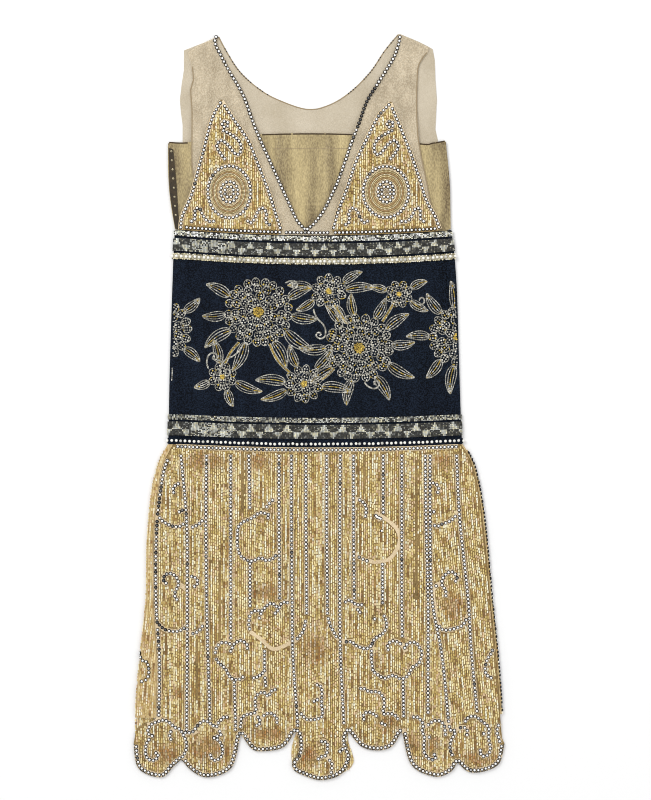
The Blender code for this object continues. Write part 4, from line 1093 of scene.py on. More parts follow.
def creases_of(fold, left_drops, right_drops):
    """Lines down the cloth where it bends round the side folds."""
    sides = ((-1, left_drops), (1, right_drops))
    return [pairs(bend(*fold, turn, drops, share), drops) for turn, drops in sides for share in BEND_SHARES]


def band_back_outline():
    """Outline in the plan of the cloth, and its creases round the side folds."""

    def edge_row(drop_of):
        row = []
        for turn, table in ((-1, BAND_SEAM_LEFT), (1, BAND_SEAM_RIGHT)):
            drop = float(drop_of(BAND_HALF_WIDTH))
            x = along(table, drop) + turn * SEAM_GAP
            seam = turned_place(*BAND, x, drop, turn)
            side = [(float(seam), float(drop_of(along(table, drop))))]
            side += [(float(bend(*BAND, turn, drop, share)), drop) for share in BEND_SHARES]
            row.append(side)
        left, right = row
        xs = steps(left[-1][0], right[-1][0], 14)[1:-1]
        middle = pairs(xs, drop_of(xs))
        return np.vstack([left, middle, right[::-1]])

    top, bottom = edge_row(band_top), edge_row(band_bottom)[::-1]
    ends = steps(top[0, 1], bottom[-1, 1], 12)
    drops = ends[1:-1]

    def seam_line(turn, table):
        xs = along(table, drops) + turn * SEAM_GAP
        s = turned_place(*BAND, xs, drops, turn)
        return pairs(s, drops)

    outline = np.vstack([top, seam_line(1, BAND_SEAM_RIGHT), bottom, seam_line(-1, BAND_SEAM_LEFT)[::-1]])
    return outline, creases_of(BAND, ends, ends)


def band_front_outline():
    drops = steps(band_top(BAND_HALF_WIDTH) + 2, band_bottom(BAND_HALF_WIDTH) - 2, 8)
    left = pairs(along(BAND_SEAM_LEFT, drops), drops)
    right = pairs(along(BAND_SEAM_RIGHT, drops), drops)
    top_x, low_x = steps(left[0, 0], right[0, 0], 8), steps(left[-1, 0], right[-1, 0], 8)
    top = pairs(top_x, band_top(top_x))
    bottom = pairs(low_x, band_bottom(low_x))
    return np.vstack([top, right[1:-1], bottom[::-1], left[1:-1][::-1]])


def skirt_drops(turn):
    first = band_bottom(BAND_HALF_WIDTH) + SEAM_GAP
    return steps(first, LEFT_SLIT if turn < 0 else RIGHT_SLIT, 10)


def hem(lobes, step):
    return np.vstack([curve(lobe, step) for lobe in lobes])


def skirt_front_sides():
    drops = skirt_drops(-1)
    left = np.vstack([
        pairs(along(SKIRT_SEAM_LEFT, drops), drops),
        curve(((-240, 997), (-250, 1000), (-259, 1005), (-266, 1014)), 5),
    ])
    drops = np.concatenate([skirt_drops(1), steps(RIGHT_SLIT + 12, 1022, 12)])
    right = pairs(along(SKIRT_SIDES, drops, 2) - SKIRT_FOLD - SEAM_GAP, drops)
    return left, right


def skirt_front_outline():
    left, right = skirt_front_sides()
    xs = steps(left[0, 0], right[0, 0], 8)[1:-1]
    top = pairs(xs, band_bottom(xs) + SEAM_GAP)
    return np.vstack([top, right, hem(HEM_LOBES, 4)[::-1], left[::-1]])


def skirt_back_outline():
    def station(turn, drop, share):
        return bend(*SKIRT, turn, drop, share)

    left_drops, right_drops = skirt_drops(-1), skirt_drops(1)
    top_drop = left_drops[0]

    def left_seam(drop):
        return turned_place(*SKIRT, along(SKIRT_SEAM_LEFT, drop) - SEAM_GAP, drop, -1)

    left_end = [(station(-1, top_drop, share), top_drop) for share in BEND_SHARES]
    right_end = [(station(1, top_drop, share), top_drop) for share in BEND_SHARES]
    xs = steps(left_end[-1][0], right_end[-1][0], 14)[1:-1]
    middle = pairs(xs, band_bottom(xs) + SEAM_GAP)
    top = np.vstack([[(left_seam(top_drop), top_drop)], left_end, middle, right_end[::-1]])
    right = [(station(1, drop, 1), drop) for drop in right_drops[1:-1]]
    right += [(station(1, RIGHT_SLIT, share), RIGHT_SLIT) for share in BEND_SHARES]
    right += [(station(1, drop, 0) - 0.5, drop) for drop in (1000, 1013)]
    left = [(station(-1, drop, 0) + 0.5, drop) for drop in (1018, 1006)]
    left += [(station(-1, LEFT_SLIT, share), LEFT_SLIT) for share in BEND_SHARES[::-1]]
    left += [(left_seam(drop), drop) for drop in left_drops[:0:-1]]
    lobes = [
        [(x, drop - BACK_LOBE_SHORTER * float(smooth_step((drop - 1020) / 30))) for x, drop in lobe]
        for lobe in HEM_LOBES
    ]
    lobes[CENTRE_LOBE] = BACK_CENTRE_LOBE
    low = hem(lobes, 5)
    low[0, 0] = station(-1, 1030, 0) + 0.6
    low[:, 0] = np.clip(low[:, 0], station(-1, low[:, 1], 0), station(1, low[:, 1], 0))
    return np.vstack([top, right, low[::-1], left]), creases_of(SKIRT, left_drops, right_drops)


def bodice_lines():
    """Stone lines of the V neck, which meet at its foot, and of the edge below it."""
    left, right = v_edges()
    xs = steps(-50, 15, 6)
    return [
        np.vstack([beside(left, NECK_TO_STONES)[:-2], V_FOOT]),
        np.vstack([V_FOOT, beside(right, NECK_TO_STONES)[2:]]),
        pairs(xs, band_top(xs) - FOOT_TO_STONES),
    ]


def point_lines(sizes):
    """Stone lines of a beaded point: its edges and foot, the medallion's rings and the scrolls."""
    left, right = curve(sizes["left"], 5), curve(sizes["right"], 5)
    middle, mirror = np.array(sizes["medallion"], float), np.array((sizes["mirror"], 1.0))
    apex = (left[0] + right[0]) / 2 + (0, NECK_TO_STONES)
    foot = steps(left[-1, 0] + 3, right[-1, 0] - 1, 6)
    edges = [
        np.vstack([apex, beside(left, -NECK_TO_STONES)[2:]]),
        np.vstack([apex, beside(right, NECK_TO_STONES)[2:]]),
        pairs(foot, band_top(foot) - FOOT_TO_STONES),
    ]
    rings = [ring(*middle, width, height) for width, height in (*sizes["rings"], HEART_RING)]
    scrolls = [middle + curve(scroll, 2) * mirror for scroll in POINT_SCROLLS]
    scrolls.append(ring(*(middle + SMALL_RING[:2] * mirror), SMALL_RING[2], SMALL_RING[2]))
    return edges, rings, scrolls


def hem_lines():
    """Stone lines along the hem, which meet above its notches."""
    lines = [beside(curve(lobe, 3), 1 - EDGE_TO_STONES)[1:-1] for lobe in HEM_LOBES]
    for i in range(len(lines) - 1):
        meet = np.add(HEM_LOBES[i][-1], HEM_LOBES[i + 1][0]) / 2 - (0, EDGE_TO_STONES)
        lines[i] = np.vstack([lines[i], meet])
        lines[i + 1] = np.vstack([meet, lines[i + 1]])
    return lines


def skirt_lines():
    left, right = skirt_front_sides()
    xs = steps(left[0, 0] + 4, right[0, 0] - 4, 6)
    lines = [pairs(xs, band_bottom(xs) + TOP_TO_STONES)]
    for first, last, *places in STONE_LINES:
        table = tuple(zip(STATIONS, places))
        drops = steps(first, last, 8)
        lines.append(pairs(along(table, drops), drops))
    lines += [curve(scroll, 1.5) * SQUARE for scroll in SCROLLS]
    lines += hem_lines()
    lines.append(beside(left[2:-4], 1 - EDGE_TO_STONES))
    return lines


def set_stones(name, lines, surface, rng, dark=None):
    """Cut stones in metal cups, at even distances along the lines."""
    places, runs = [], []
    for line in lines:
        at, run = spaced(line, STONE_PITCH)
        places.append(at)
        runs.append(run)
    places, runs = np.vstack(places), np.vstack(runs)
    places, runs = thinned(places, runs, STONE_PITCH * 0.72)
    stones_at(name, places, runs, surface, rng, dark)


def thinned(places, runs, least):
    """Leaves out each place that is closer than this to an earlier one."""
    kept, cells = [], {}
    for i, (x, y) in enumerate(places):
        cell = (int(x // least), int(y // least))
        near = [
            j
            for cx in (-1, 0, 1)
            for cy in (-1, 0, 1)
            for j in cells.get((cell[0] + cx, cell[1] + cy), ())
        ]
        if all(np.hypot(*(places[j] - places[i])) >= least for j in near):
            kept.append(i)
            cells.setdefault(cell, []).append(i)
    return places[kept], runs[kept]


def stones_at(name, places, runs, surface, rng, dark=None):
    points, normals = surface(places)
    lean = rng.normal(0, 0.09, (len(places), 2))
    normals = unit(normals + np.column_stack([lean, np.zeros(len(places))]))
    shine = rng.choice((1.0, 0.85, 0.5, 0.15), len(places), p=(0.82, 0.12, 0.04, 0.02))
    if dark is not None:
        shine = np.where(dark(places), 0.05, shine)
    scales = rng.uniform(0.93, 1.04, len(places))[:, None]
    cup_tints = shaded(CUP_BLACK, rng.uniform(0.4, 2.2, len(places)))
    spots = (points, normals)
    scatter(name + "_cups", CUP, spots, "cup", cup_tints, scales, runs)
    scatter(name, STONE, spots, "stone", shaded(STONE_WHITE, shine), scales, runs, smooth=False)


def painted_shade(places):
    """How much painted shade, as a mix towards brown, the beads get at these places, 0 to 1."""
    found = np.zeros(len(places))
    for x, drop, half_width, half_height, strength in PAINTED_SHADE_PATCHES:
        away = np.hypot((places[:, 0] - x) / half_width, (places[:, 1] - drop) / half_height)
        found = np.maximum(found, strength * smooth_step(1.35 - away))
    return found


def bugle_tints(places, rng, brown=None):
    """Colours of glass bugles: mixed golds, streaky down the rows, mixed towards brown in places, which on
    the skirt's front is painted shade.
    """
    x, drop = places.T
    level = ripples(x, drop, 5.5, 220, 0.52, 31) + ripples(x, drop, 30, 40, 0.22, 32)
    rank = (level + rng.normal(0, 0.2, len(places))).argsort().argsort() / len(places)
    # The lightest colour is a painted highlight for glints on the glass
    colours = BUGLE_COLOURS[np.searchsorted(np.cumsum(BUGLE_SHARES)[:-1], rank, side="right")]
    colours = colours * rng.uniform(0.88, 1.12, len(places))[:, None]
    if brown is not None:
        share = (brown * rng.uniform(0.5, 1.0, len(places)))[:, None]
        colours = colours * (1 - share) + BROWN * rng.uniform(0.5, 1.6, len(places))[:, None] * share
    return np.clip(colours, 0.0, 1.0)


def rows_of_beads(low, high, top, bottom, rng, lean=None):
    """Places of bugles in upright rows over a box, each row with its own start."""
    found = []
    for x in np.arange(low, high, BUGLE_PITCH):
        pitch = BUGLE_LENGTH + 0.5
        drops = np.arange(top + rng.uniform(0, pitch), bottom, pitch)
        drops = drops + rng.normal(0, 0.25, len(drops))
        xs = x + rng.normal(0, 0.22, len(drops)) + rng.normal(0, 0.1)
        if lean is not None:
            xs = xs + lean(drops)
        found.append(pairs(xs, drops))
    return np.vstack(found)


def keep_clear(places, outline, lines, edge, channel):
    places = places[inside(places, outline)]
    places = places[Near([np.vstack([outline, outline[:1]])])(places) > edge]
    return places[Near(lines)(places) > channel]


def lay_bugles(name, places, surface, rng, brown=None):
    runs = pairs(rng.normal(0, 0.07, len(places)), 1.0)
    scales = np.column_stack([
        BUGLE_LENGTH * rng.uniform(0.82, 1.08, len(places)),
        BUGLE_WIDTH * rng.uniform(0.88, 1.06, len(places)),
        2.0 * rng.uniform(0.85, 1.1, len(places)),
    ])
    tints = bugle_tints(places, rng, brown)
    scatter(name, BUGLE, surface(places), "bugle", tints, scales, runs)


def make_strips(name, lines, surface, width, look="strip"):
    """Strips of bare net, in which the stones are set."""
    points, loops, start = [], [], 0
    for line in lines:
        if len(line) < 3:
            continue
        sides = [beside(line, offset) for offset in (-width / 2, 0.0, width / 2)]
        count = len(line)
        points += [surface(side)[0] + (0, 0, 0.12 * MM) for side in sides]
        for row in (0, count):
            first = start + row + np.arange(count - 1)
            loops.append(np.column_stack([first, first + 1, first + count + 1, first + count]).ravel())
        start += 3 * count
    loops = np.concatenate(loops)
    return mesh_object(name, np.vstack(points), loops, np.full(len(loops) // 4, 4), look)


def make_fringe():
    """Small dark beads along the hem of the skirt's front."""
    # The dark beads stand partly for the net's dark edge and partly for painted shade along the hem
    rng = np.random.default_rng(59)
    at, run = spaced(beside(hem(HEM_LOBES, 4), -0.7), 2.3)
    kept = rng.uniform(size=len(at)) < 0.8
    at, run = at[kept], run[kept]
    tints = shaded(FRINGE_DARK, rng.uniform(0.3, 2.4, len(at)))
    sizes = rng.uniform(0.8, 1.15, len(at))[:, None]
    scatter("hem_fringe", SEED, on_top(skirt_top)(at), "bead", tints, sizes, run)


def flare_shift(drops):
    return along(FLARE, drops) - FLARE[4][1]


def make_skirt_beads():
    rng = np.random.default_rng(41)
    outline = skirt_front_outline()
    lines = skirt_lines()
    surface = on_top(skirt_top)
    bare_lines = [curve(points, 3) for points in BARE_LINES]

    # Some stones near the left edge, between these drops, are made dark: painted shade of stones that lie
    # edge-on on the fold there
    def dark(at):
        return (at[:, 0] < -222) & (at[:, 1] > 640) & (at[:, 1] < 925) & (rng.uniform(size=len(at)) < 0.35)

    set_stones("skirt_stones", lines, surface, rng, dark)
    make_strips("skirt_strips", lines, surface, STRIP_WIDTH)
    make_strips("bare_strips", bare_lines, surface, BARE_WIDTH)
    lone = np.array(LONE_STONES)
    stones_at("lone_stones", lone, ACROSS, surface, rng)
    upright = rows_of_beads(-270, 200, 600, 1083, rng)
    upright = upright[upright[:, 0] < along(FLARE_LINE, upright[:, 1])]
    slanted = rows_of_beads(186, 272, 600, 1083, rng, flare_shift)
    slanted = slanted[slanted[:, 0] > along(FLARE_LINE, slanted[:, 1])]
    places = keep_clear(np.vstack([upright, slanted]), outline, lines, 2.2, 4.0)
    places = places[Near(bare_lines)(places) > BARE_WIDTH / 2 + 0.6]
    bare = np.zeros(len(places), bool)
    for x, first, last, width in BARE_STREAKS:
        bare |= (np.abs(places[:, 0] - x) < width / 2 + 0.8) & (places[:, 1] > first) & (places[:, 1] < last)
    missing = rng.uniform(size=len(places)) < MISSING_BUGLES
    places = places[~bare & ~missing]
    thirds = ((-300, -75), (-75, 75), (75, 300))
    for number, (low, high) in enumerate(thirds):
        part = places[(places[:, 0] >= low) & (places[:, 0] < high)]
        # Painted shade: the bugles are mixed towards brown in patches
        lay_bugles(f"skirt_bugles_{number + 1}", part, surface, rng, painted_shade(part))


def make_return_beads():
    """Beads and stones on the sides of the skirt's back, where it turns over."""
    rng = np.random.default_rng(43)
    turned = over_fold(*SKIRT)
    drops = np.arange(604, 988, BUGLE_LENGTH + 0.5)
    places = []
    line = curve(RETURN_LINE, 2)
    s_line = turned_place(*SKIRT, line[:, 0], line[:, 1], -1)
    s_line = pairs(s_line, line[:, 1])
    for row in range(12):
        share_start = bend(*SKIRT, -1, drops, 0.62)
        s = share_start - row * BUGLE_PITCH
        at = drops + rng.uniform(0, 4)
        last = turned_place(*SKIRT, along(SKIRT_SEAM_LEFT, at) - 2.4, at, -1)
        places.append(pairs(s, at)[(s > last) & (at < 988)])
    s = bend(*SKIRT, 1, drops, 0.62)
    places.append(pairs(s, drops + 1.5)[:-1])
    places = np.vstack(places)
    places = places[Near([s_line])(places) > 4.2]
    dulled = np.full(len(places), 0.22)
    lay_bugles("skirt_bugles_sides", places, turned, rng, dulled)
    shown = rows_of_beads(-272, 272, LEFT_SLIT - 6, LENGTH, rng)
    lobes = hem([[(x, drop - BACK_LOBE_SHORTER) for x, drop in lobe] for lobe in HEM_LOBES[:CENTRE_LOBE]], 5)
    corner = np.vstack([((-266, LEFT_SLIT), (-236, LEFT_SLIT), (-236, 1020)), lobes[:1] + (2, 0)])
    behind = inside(shown, corner) | inside(shown, np.array(BACK_CENTRE_LOBE, float))
    shown = shown[behind & ~inside(shown, skirt_front_outline())]
    lay_bugles("skirt_bugles_behind", shown, on_top(lambda x, drop: 1.0 + 0 * x), rng)
    edge_drops = steps(606, 984, 3)
    edge = pairs(bend(*SKIRT, 1, edge_drops, 0.5), edge_drops)

    def dark(at):
        return (at[:, 0] > 0) & (rng.uniform(size=len(at)) < 0.6)

    set_stones("side_stones", [edge, s_line], turned, rng, dark)


def make_point_beads():
    rng = np.random.default_rng(47)
    surface = on_top(point_top)
    for side, (name, sizes) in enumerate(POINTS.items()):
        outline = point_outline(sizes)
        edges, rings, scrolls = point_lines(sizes)
        tag = ("left", "right")[side]
        set_stones(f"point_stones_{tag}", [*edges, *rings, *scrolls], surface, rng)
        x, drop = sizes["medallion"]
        low, high = outline.min(axis=0), outline.max(axis=0)
        places = rows_of_beads(low[0], high[0], low[1], high[1], rng)
        places = keep_clear(places, outline, [*edges, *rings, *scrolls], 1.8, 3.9)
        make_strips(f"point_strips_{tag}", [*edges[:2], *rings, *scrolls], surface, STRIP_WIDTH)
        width, height = sizes["rings"][0]
        away = np.hypot((places[:, 0] - x) / width, (places[:, 1] - drop) / height)
        lay_bugles(f"point_bugles_{tag}", places[away > 1.0], surface, rng)
        spots, runs, tints = [], [], []
        inner = sizes["rings"][1][0] / width
        rounds = np.linspace(inner + 0.13, 0.88, 7)
        for share, shade in zip(rounds, MEDALLION_SHADES):
            at, run = spaced(ring(x, drop, width * share, height * share), 1.9, True)
            spots.append(at)
            runs.append(run)
            tints.append(shaded(shade, rng.uniform(0.6, 1.15, len(at))))
        for radius in (1.6, 3.4):
            at, run = spaced(ring(x, drop, radius, radius * 1.15), 2.6, True)
            spots.append(at)
            runs.append(run)
            tints.append(shaded(HEART_SHADE, rng.uniform(0.4, 1.1, len(at))))
        beads = surface(np.vstack(spots))
        scatter(f"medallion_beads_{tag}", SEED, beads, "bead", np.vstack(tints), 0.95, np.vstack(runs))


def make_bodice_beads():
    rng = np.random.default_rng(53)

    def dark(at):
        return (at[:, 0] > 52) & (at[:, 1] > 70) & (at[:, 1] < 140) & (rng.uniform(size=len(at)) < 0.8)

    set_stones("neck_stones", bodice_lines(), on_top(chiffon_top), rng, dark)
    neck = beside(back_neck(), 0.6)
    at, run = spaced(neck, 4.4)
    shown = (at[:, 1] > 8) & (at[:, 1] < 92) & (rng.uniform(size=len(at)) < 0.75)
    at, run = at[shown], run[shown]
    tints = shaded(NECK_DARK, rng.uniform(0.4, 1.8, len(at)))
    scatter("neck_beads", SEED, on_top(chiffon_back_top)(at), "bead", tints, 1.1, run)


def make_edges():
    """Rolled edges of the chiffon and the bound top of the silk."""
    left, right = armholes()
    make_strips("armhole_edges", [beside(left, 0.9), beside(right, 0.9)], on_top(chiffon_top), 1.7, "edge")
    make_strips("neck_edge", [beside(back_neck(), 0.9)], on_top(chiffon_back_top), 1.6, "edge")
    top = gold_top(0, 4) + (0, 1.1)
    hidden = (top[:, 0] > -185) & (top[:, 0] < 143) & (np.abs(top[:, 0] + 11) > 74)
    parts = np.split(top, np.flatnonzero(np.diff(hidden.astype(int))) + 1)

    def seen(part):
        return len(part) > 2 and not hidden[np.flatnonzero((top == part[1]).all(axis=1))[0]]

    shown = [part for part in parts if seen(part)]
    make_strips("silk_edge", shown, on_top(silk_top), 1.9, "dark_edge")
    seam_x = steps(-66, 46, 4)
    seam = pairs(seam_x, 167)
    make_strips("silk_seam", [seam], on_top(silk_top), 0.6, "edge")


def make_snaps():
    drops = np.arange(171, 268, SNAP_PITCH)
    xs = np.interp(drops, (171, 265), (-214, -207.5))
    at = pairs(xs, drops)
    placket = on_top(lambda x, drop: silk_top(x, drop) + LAYER_GAP + 0.9)
    scatter("snaps", SNAP, placket(at), "metal")


def trim_surface(edge, top_lift):
    """Points and normals on a trim, which follows the band and turns down at both side folds.
    Its plan is x and the offset from the band's edge."""

    def surface(plan):
        x, offset = plan[:, 0], plan[:, 1]
        drop = band_top(x) + offset if edge == "top" else band_bottom(x) - offset
        left, right = along(BAND_SIDES, drop, 1) + BAND_FOLD, along(BAND_SIDES, drop, 2) - BAND_FOLD
        turn = np.where(x < left, -1.0, np.where(x > right, 1.0, 0.0))
        start = np.where(turn < 0, left, right)
        over = np.abs(x - start) * np.abs(turn)
        lift = SOFT_GAP + top_lift
        angle = math.pi - over / (BAND_FOLD + lift)
        flat_point = place(x, drop, band_surface(x, drop) + lift)
        radius = BAND_FOLD + lift
        bent = place(start + turn * radius * np.sin(angle), drop, BAND_FOLD - radius * np.cos(angle))
        normal = np.column_stack([turn * np.sin(angle), np.zeros(len(x)), -np.cos(angle)])
        _, flat_normal = on_top(band_surface)(pairs(x, drop))
        flat = (turn == 0)[:, None]
        return np.where(flat, flat_point, bent), np.where(flat, flat_normal, normal)

    return surface


def trim_ends(edge, middle):
    drop = band_top(BAND_HALF_WIDTH) + middle if edge == "top" else band_bottom(BAND_HALF_WIDTH) - middle
    left, right = (float(along(BAND_SIDES, drop, column)) for column in (1, 2))
    return left + BAND_FOLD - TRIM_WRAP, right - BAND_FOLD + TRIM_WRAP


def wide_chart(x, row, rows, rng):
    """Lightness of a float in the wide trim: upright stepped triangles above inverted ones."""
    upper = row < rows / 2
    away = np.abs(((x - TRIANGLE_FIRST) / TRIANGLE_WIDTH + np.where(upper, 0.5, 0.0)) % 1.0 - 0.5)
    away = away * TRIANGLE_WIDTH
    level = np.where(upper, row, rows - 1 - row) // 2 + 1
    light = away < level * 1.8
    speckle = rng.uniform(size=len(x))
    return np.where(light, 0.6 + 0.36 * speckle, np.where(speckle > 0.87, 0.5, 0.02 + 0.2 * speckle))


def make_trim(name, edge, near, far, crown):
    rng = np.random.default_rng(60 + len(name) + int(near))
    low, high = trim_ends(edge, (near + far) / 2)
    xs = steps(low, high, 4)
    near, far = near + TAPE_INSET, far - TAPE_INSET
    middle = xs[(xs > low + 9) & (xs < high - 9)]
    fine = np.concatenate([steps(low, low + 8, 0.8), middle, steps(high - 8, high, 0.8)])
    outline = np.vstack([pairs(fine, near), pairs(fine[::-1], far)])
    ground = "trim_ground" if not crown else "bead_ground" if edge == "top" else "crepe"
    slot = "bead_trim" if crown else "metal_trim"
    piece = "tape_" + name[5:]
    cloth(piece, name, slot, outline, (2.6, 3.2), trim_surface(edge, 0.75), trim_surface(edge, 0.1), ground)
    surface = trim_surface(edge, 0.75)
    if crown:
        beads_on_tape(name, edge, (near + far) / 2, low, high, surface, rng)
        return
    rows = round((far - near) / FLOAT_CELL[1])
    across = np.arange(low + 0.8, high - 0.6, FLOAT_CELL[0])
    column, row = np.meshgrid(np.arange(len(across)), np.arange(rows))
    column, row = column.ravel(), row.ravel()
    offset = near + (row + 0.5) * (far - near) / rows
    if edge == "bottom":
        offset = near + far - offset
    plan = pairs(across[column], offset)
    if "wide" in name:
        shade = wide_chart(plan[:, 0], row, rows, rng)
        pale = (plan[:, 0] > -187) & (plan[:, 0] < -125) & (rng.uniform(size=len(plan)) < 0.45)
        shade = np.where(pale, 0.75, shade)
    else:
        shade = rng.choice((0.06, 0.4, 0.75, 1.1), len(plan), p=(0.26, 0.22, 0.26, 0.26))
        # The narrow trim at the top is made lighter and the low one darker: painted light and painted shade
        shade = shade * (1.2 if edge == "top" else 0.78)
    shade = shade * (1 + ripples(plan[:, 0], plan[:, 1], 40, 30, 0.14, 71))
    warm = rng.uniform(size=(len(plan), 1)) < 0.35
    tints = np.clip(np.where(warm, WEAVE_CREAM, WEAVE_SILVER) * shade[:, None] ** 1.4, 0.01, 1)
    scales = np.full((len(plan), 3), (1.3, 1.05, 1.0))
    scales[:, 2] = rng.uniform(0.7, 1.2, len(plan))
    scatter("weave_" + name[5:], FLOAT, surface(plan), "thread", tints, scales)


def beads_on_tape(name, edge, middle, low, high, surface, rng):
    """The row of large white beads, with small gold ones beside them on the upper tape."""
    xs = np.arange(low + 2, high - 1, LARGE_BEAD_PITCH)
    plan = pairs(xs + rng.normal(0, 0.3, len(xs)), middle + rng.normal(0, 0.25, len(xs)))
    shine = rng.choice((1.0, 0.85, 0.6), len(plan), p=(0.7, 0.2, 0.1))
    scatter("beads_" + name[5:], ROUND_BEAD, surface(plan), "bead", shaded(LARGE_WHITE, shine), 2.25)
    if edge != "top":
        return
    small = []
    for side in (-1, 1):
        row = np.arange(low + 1, high - 1, SMALL_BEAD_PITCH)
        small.append(pairs(row, middle + side * 3.6 + rng.normal(0, 0.3, len(row))))
    small = np.vstack(small)
    tints = SMALL_SHADES[rng.choice(4, len(small), p=(0.4, 0.25, 0.2, 0.15))]
    scatter("small_beads_" + name[5:], SEED, surface(small), "bead", tints, 1.15)


class Embroidery:
    """Short raised stitches and round knots, gathered and then made as two meshes."""

    def __init__(self, seed):
        self.rng = np.random.default_rng(seed)
        self.rows = []
        self.knots = []

    def add(self, start, end, shades, width=CORD, lift=0.0):
        colour = shades[int(self.rng.integers(len(shades)))]
        shade = self.rng.uniform(0.22, 0.88)
        self.rows.append((*start, *end, width, lift, *(channel * shade for channel in colour)))

    def knot(self, x, drop, radius, shades):
        colour = shades[int(self.rng.integers(len(shades)))]
        shade = self.rng.uniform(0.24, 1.0)
        self.knots.append((x, drop, radius, *(channel * shade for channel in colour)))

    def line(self, points, length, shades, width=CORD, slant=0.0, lift=0.0):
        """A run of stitches along a line, each turned from it by the slant in degrees."""
        places, runs = spaced(np.asarray(points, float), length * (0.92 if slant == 0 else 0.45))
        turn = math.radians(slant)
        for (x, y), (a, b) in zip(places, runs):
            dx, dy = a * math.cos(turn) - b * math.sin(turn), a * math.sin(turn) + b * math.cos(turn)
            half = length / 2
            self.add((x - dx * half, y - dy * half), (x + dx * half, y + dy * half), shades, width, lift)

    def petal(self, x, drop, heading, length, width, shades):
        """A petal with a rim of cord, filled with knots."""
        a = math.radians(heading)
        out, side = np.array((math.cos(a), -math.sin(a))), np.array((math.sin(a), math.cos(a)))
        base = np.array((x, drop), float)
        t = np.linspace(0, 1, 12)
        half = width / 2 * np.sin(math.pi * t**0.8) ** 0.55
        for sign in (-1, 1):
            self.line(base + out * (t * length)[:, None] + side * (sign * half)[:, None], 3.2, shades)
        for row, at in enumerate(np.arange(0.2 * length, 0.9 * length, 3.6)):
            reach = float(np.interp(at / length, t, half)) - 2.3
            count = int(reach / 1.9)
            for across in np.arange(-count, count + 1, 2) * 1.9 if reach > 0 else ():
                spot = base + out * at + side * across
                self.knot(*spot, 1.35, shades)

    def blossom(self, x, drop, radius, rings):
        """A round flower: rings of petals round a heart of gold knots."""
        edges = np.linspace(0.2, 1.0, rings + 1) * radius
        for level in range(rings):
            inner, outer = edges[level] - 1.5, edges[level + 1]
            count = round(2 * math.pi * (inner + outer) / 2 / (11 + radius * 0.05))
            width = 2 * math.pi * (inner + outer) / 2 / count * 0.86
            for i in range(count):
                heading = 360 * (i + 0.5 * (level % 2)) / count + self.rng.normal(0, 2)
                a = math.radians(heading)
                start_x, start_drop = x + inner * math.cos(a), drop - inner * math.sin(a)
                self.petal(start_x, start_drop, heading, outer - inner, width, MIXED if level else SILVER)
        for i in range(round(radius * 0.7)):
            a, r = i * 2.4, radius * 0.15 * math.sqrt((i + 0.5) / (radius * 0.7))
            self.knot(x + r * math.cos(a), drop + r * math.sin(a), 1.5, GOLD)

    def leaf(self, x, drop, heading, length, width, bend_by):
        """A long curved leaf of cords that meet at its tip, on a gold vein."""
        spine = stroke(x, drop, heading, ((length, bend_by),), 1.9)
        run = headings(spine)
        t = np.linspace(0, 1, len(spine))
        half = width / 2 * np.sin(math.pi * t**0.7) ** 0.7
        side = pairs(-run[:, 1], run[:, 0])
        for share in (-1.0, -0.5, 0.5, 1.0):
            self.line(spine + side * (half * share)[:, None], 3.4, SILVER)
        self.line(spine, 3.4, GOLD + SILVER[:1], CORD, 0.0, 0.2)

    def stem(self, points):
        line = curve(points, 3)
        for offset in (-1.7, 1.7):
            self.line(beside(line, offset), 3.6, SILVER)
        self.line(line, 2.6, GOLD, 1.2, 55.0)

    def tendril(self, x, drop, heading, arcs):
        self.line(stroke(x, drop, heading, arcs, 1.5), 3.6, SILVER[:2], CORD, 40.0)

    def build(self, name, low, high):
        def kept(rows, middle):
            held = (middle[:, 0] > low(middle[:, 1])) & (middle[:, 0] < high(middle[:, 1]))
            return rows[held], middle[held]

        surface = on_top(band_surface)
        rows = np.array(self.rows)
        rows, middle = kept(rows, (rows[:, :2] + rows[:, 2:4]) / 2)
        run = rows[:, 2:4] - rows[:, :2]
        length = np.linalg.norm(run, axis=1)
        points, normals = surface(middle)
        points = points + normals * (rows[:, 5:6] * MM)
        scales = np.column_stack([length * 1.08, rows[:, 4], rows[:, 4] * 0.6])
        tints = np.clip(rows[:, 6:], 0, 1)
        scatter(name, STITCH, (points, normals), "thread", tints, scales, run / length[:, None])
        knots = np.array(self.knots)
        knots, middle = kept(knots, knots[:, :2])
        tints = np.clip(knots[:, 3:], 0, 1)
        scatter(name + "_knots", SEED, surface(middle), "thread", tints, knots[:, 2:3])


def make_embroidery():
    work = Embroidery(83)
    for points in STEMS:
        work.stem(points)
    for row in TENDRILS:
        work.tendril(*row)
    for flower, heading, length, width, turn in LEAVES:
        x, drop, radius, _ = BLOSSOMS[flower]
        a = math.radians(heading)
        start_x, start_drop = x + 0.96 * radius * math.cos(a), drop - 0.96 * radius * math.sin(a)
        work.leaf(start_x, start_drop, heading - turn / 2, length, width, turn)
    for row in BLOSSOMS:
        work.blossom(*row)

    def low(drop):
        return along(BAND_SIDES, drop, 1) + 3.4

    def high(drop):
        return along(BAND_SIDES, drop, 2) - 3.0

    work.build("embroidery", low, high)


def flat_on(height, lift=0.0):
    return lambda plan: (place(plan[:, 0], plan[:, 1], height(plan[:, 0], plan[:, 1]) + lift), None)


def level(height):
    return lambda x, drop: height + 0 * x


def laid(height, depth=0.5):
    """Upper and lower surface of a cloth that lies at this height."""
    return flat_on(height), flat_on(height, -depth)


def folded(fold, depth):
    """Outer and inner surface of a back piece."""
    return over_fold(*fold), over_fold(*fold, depth)


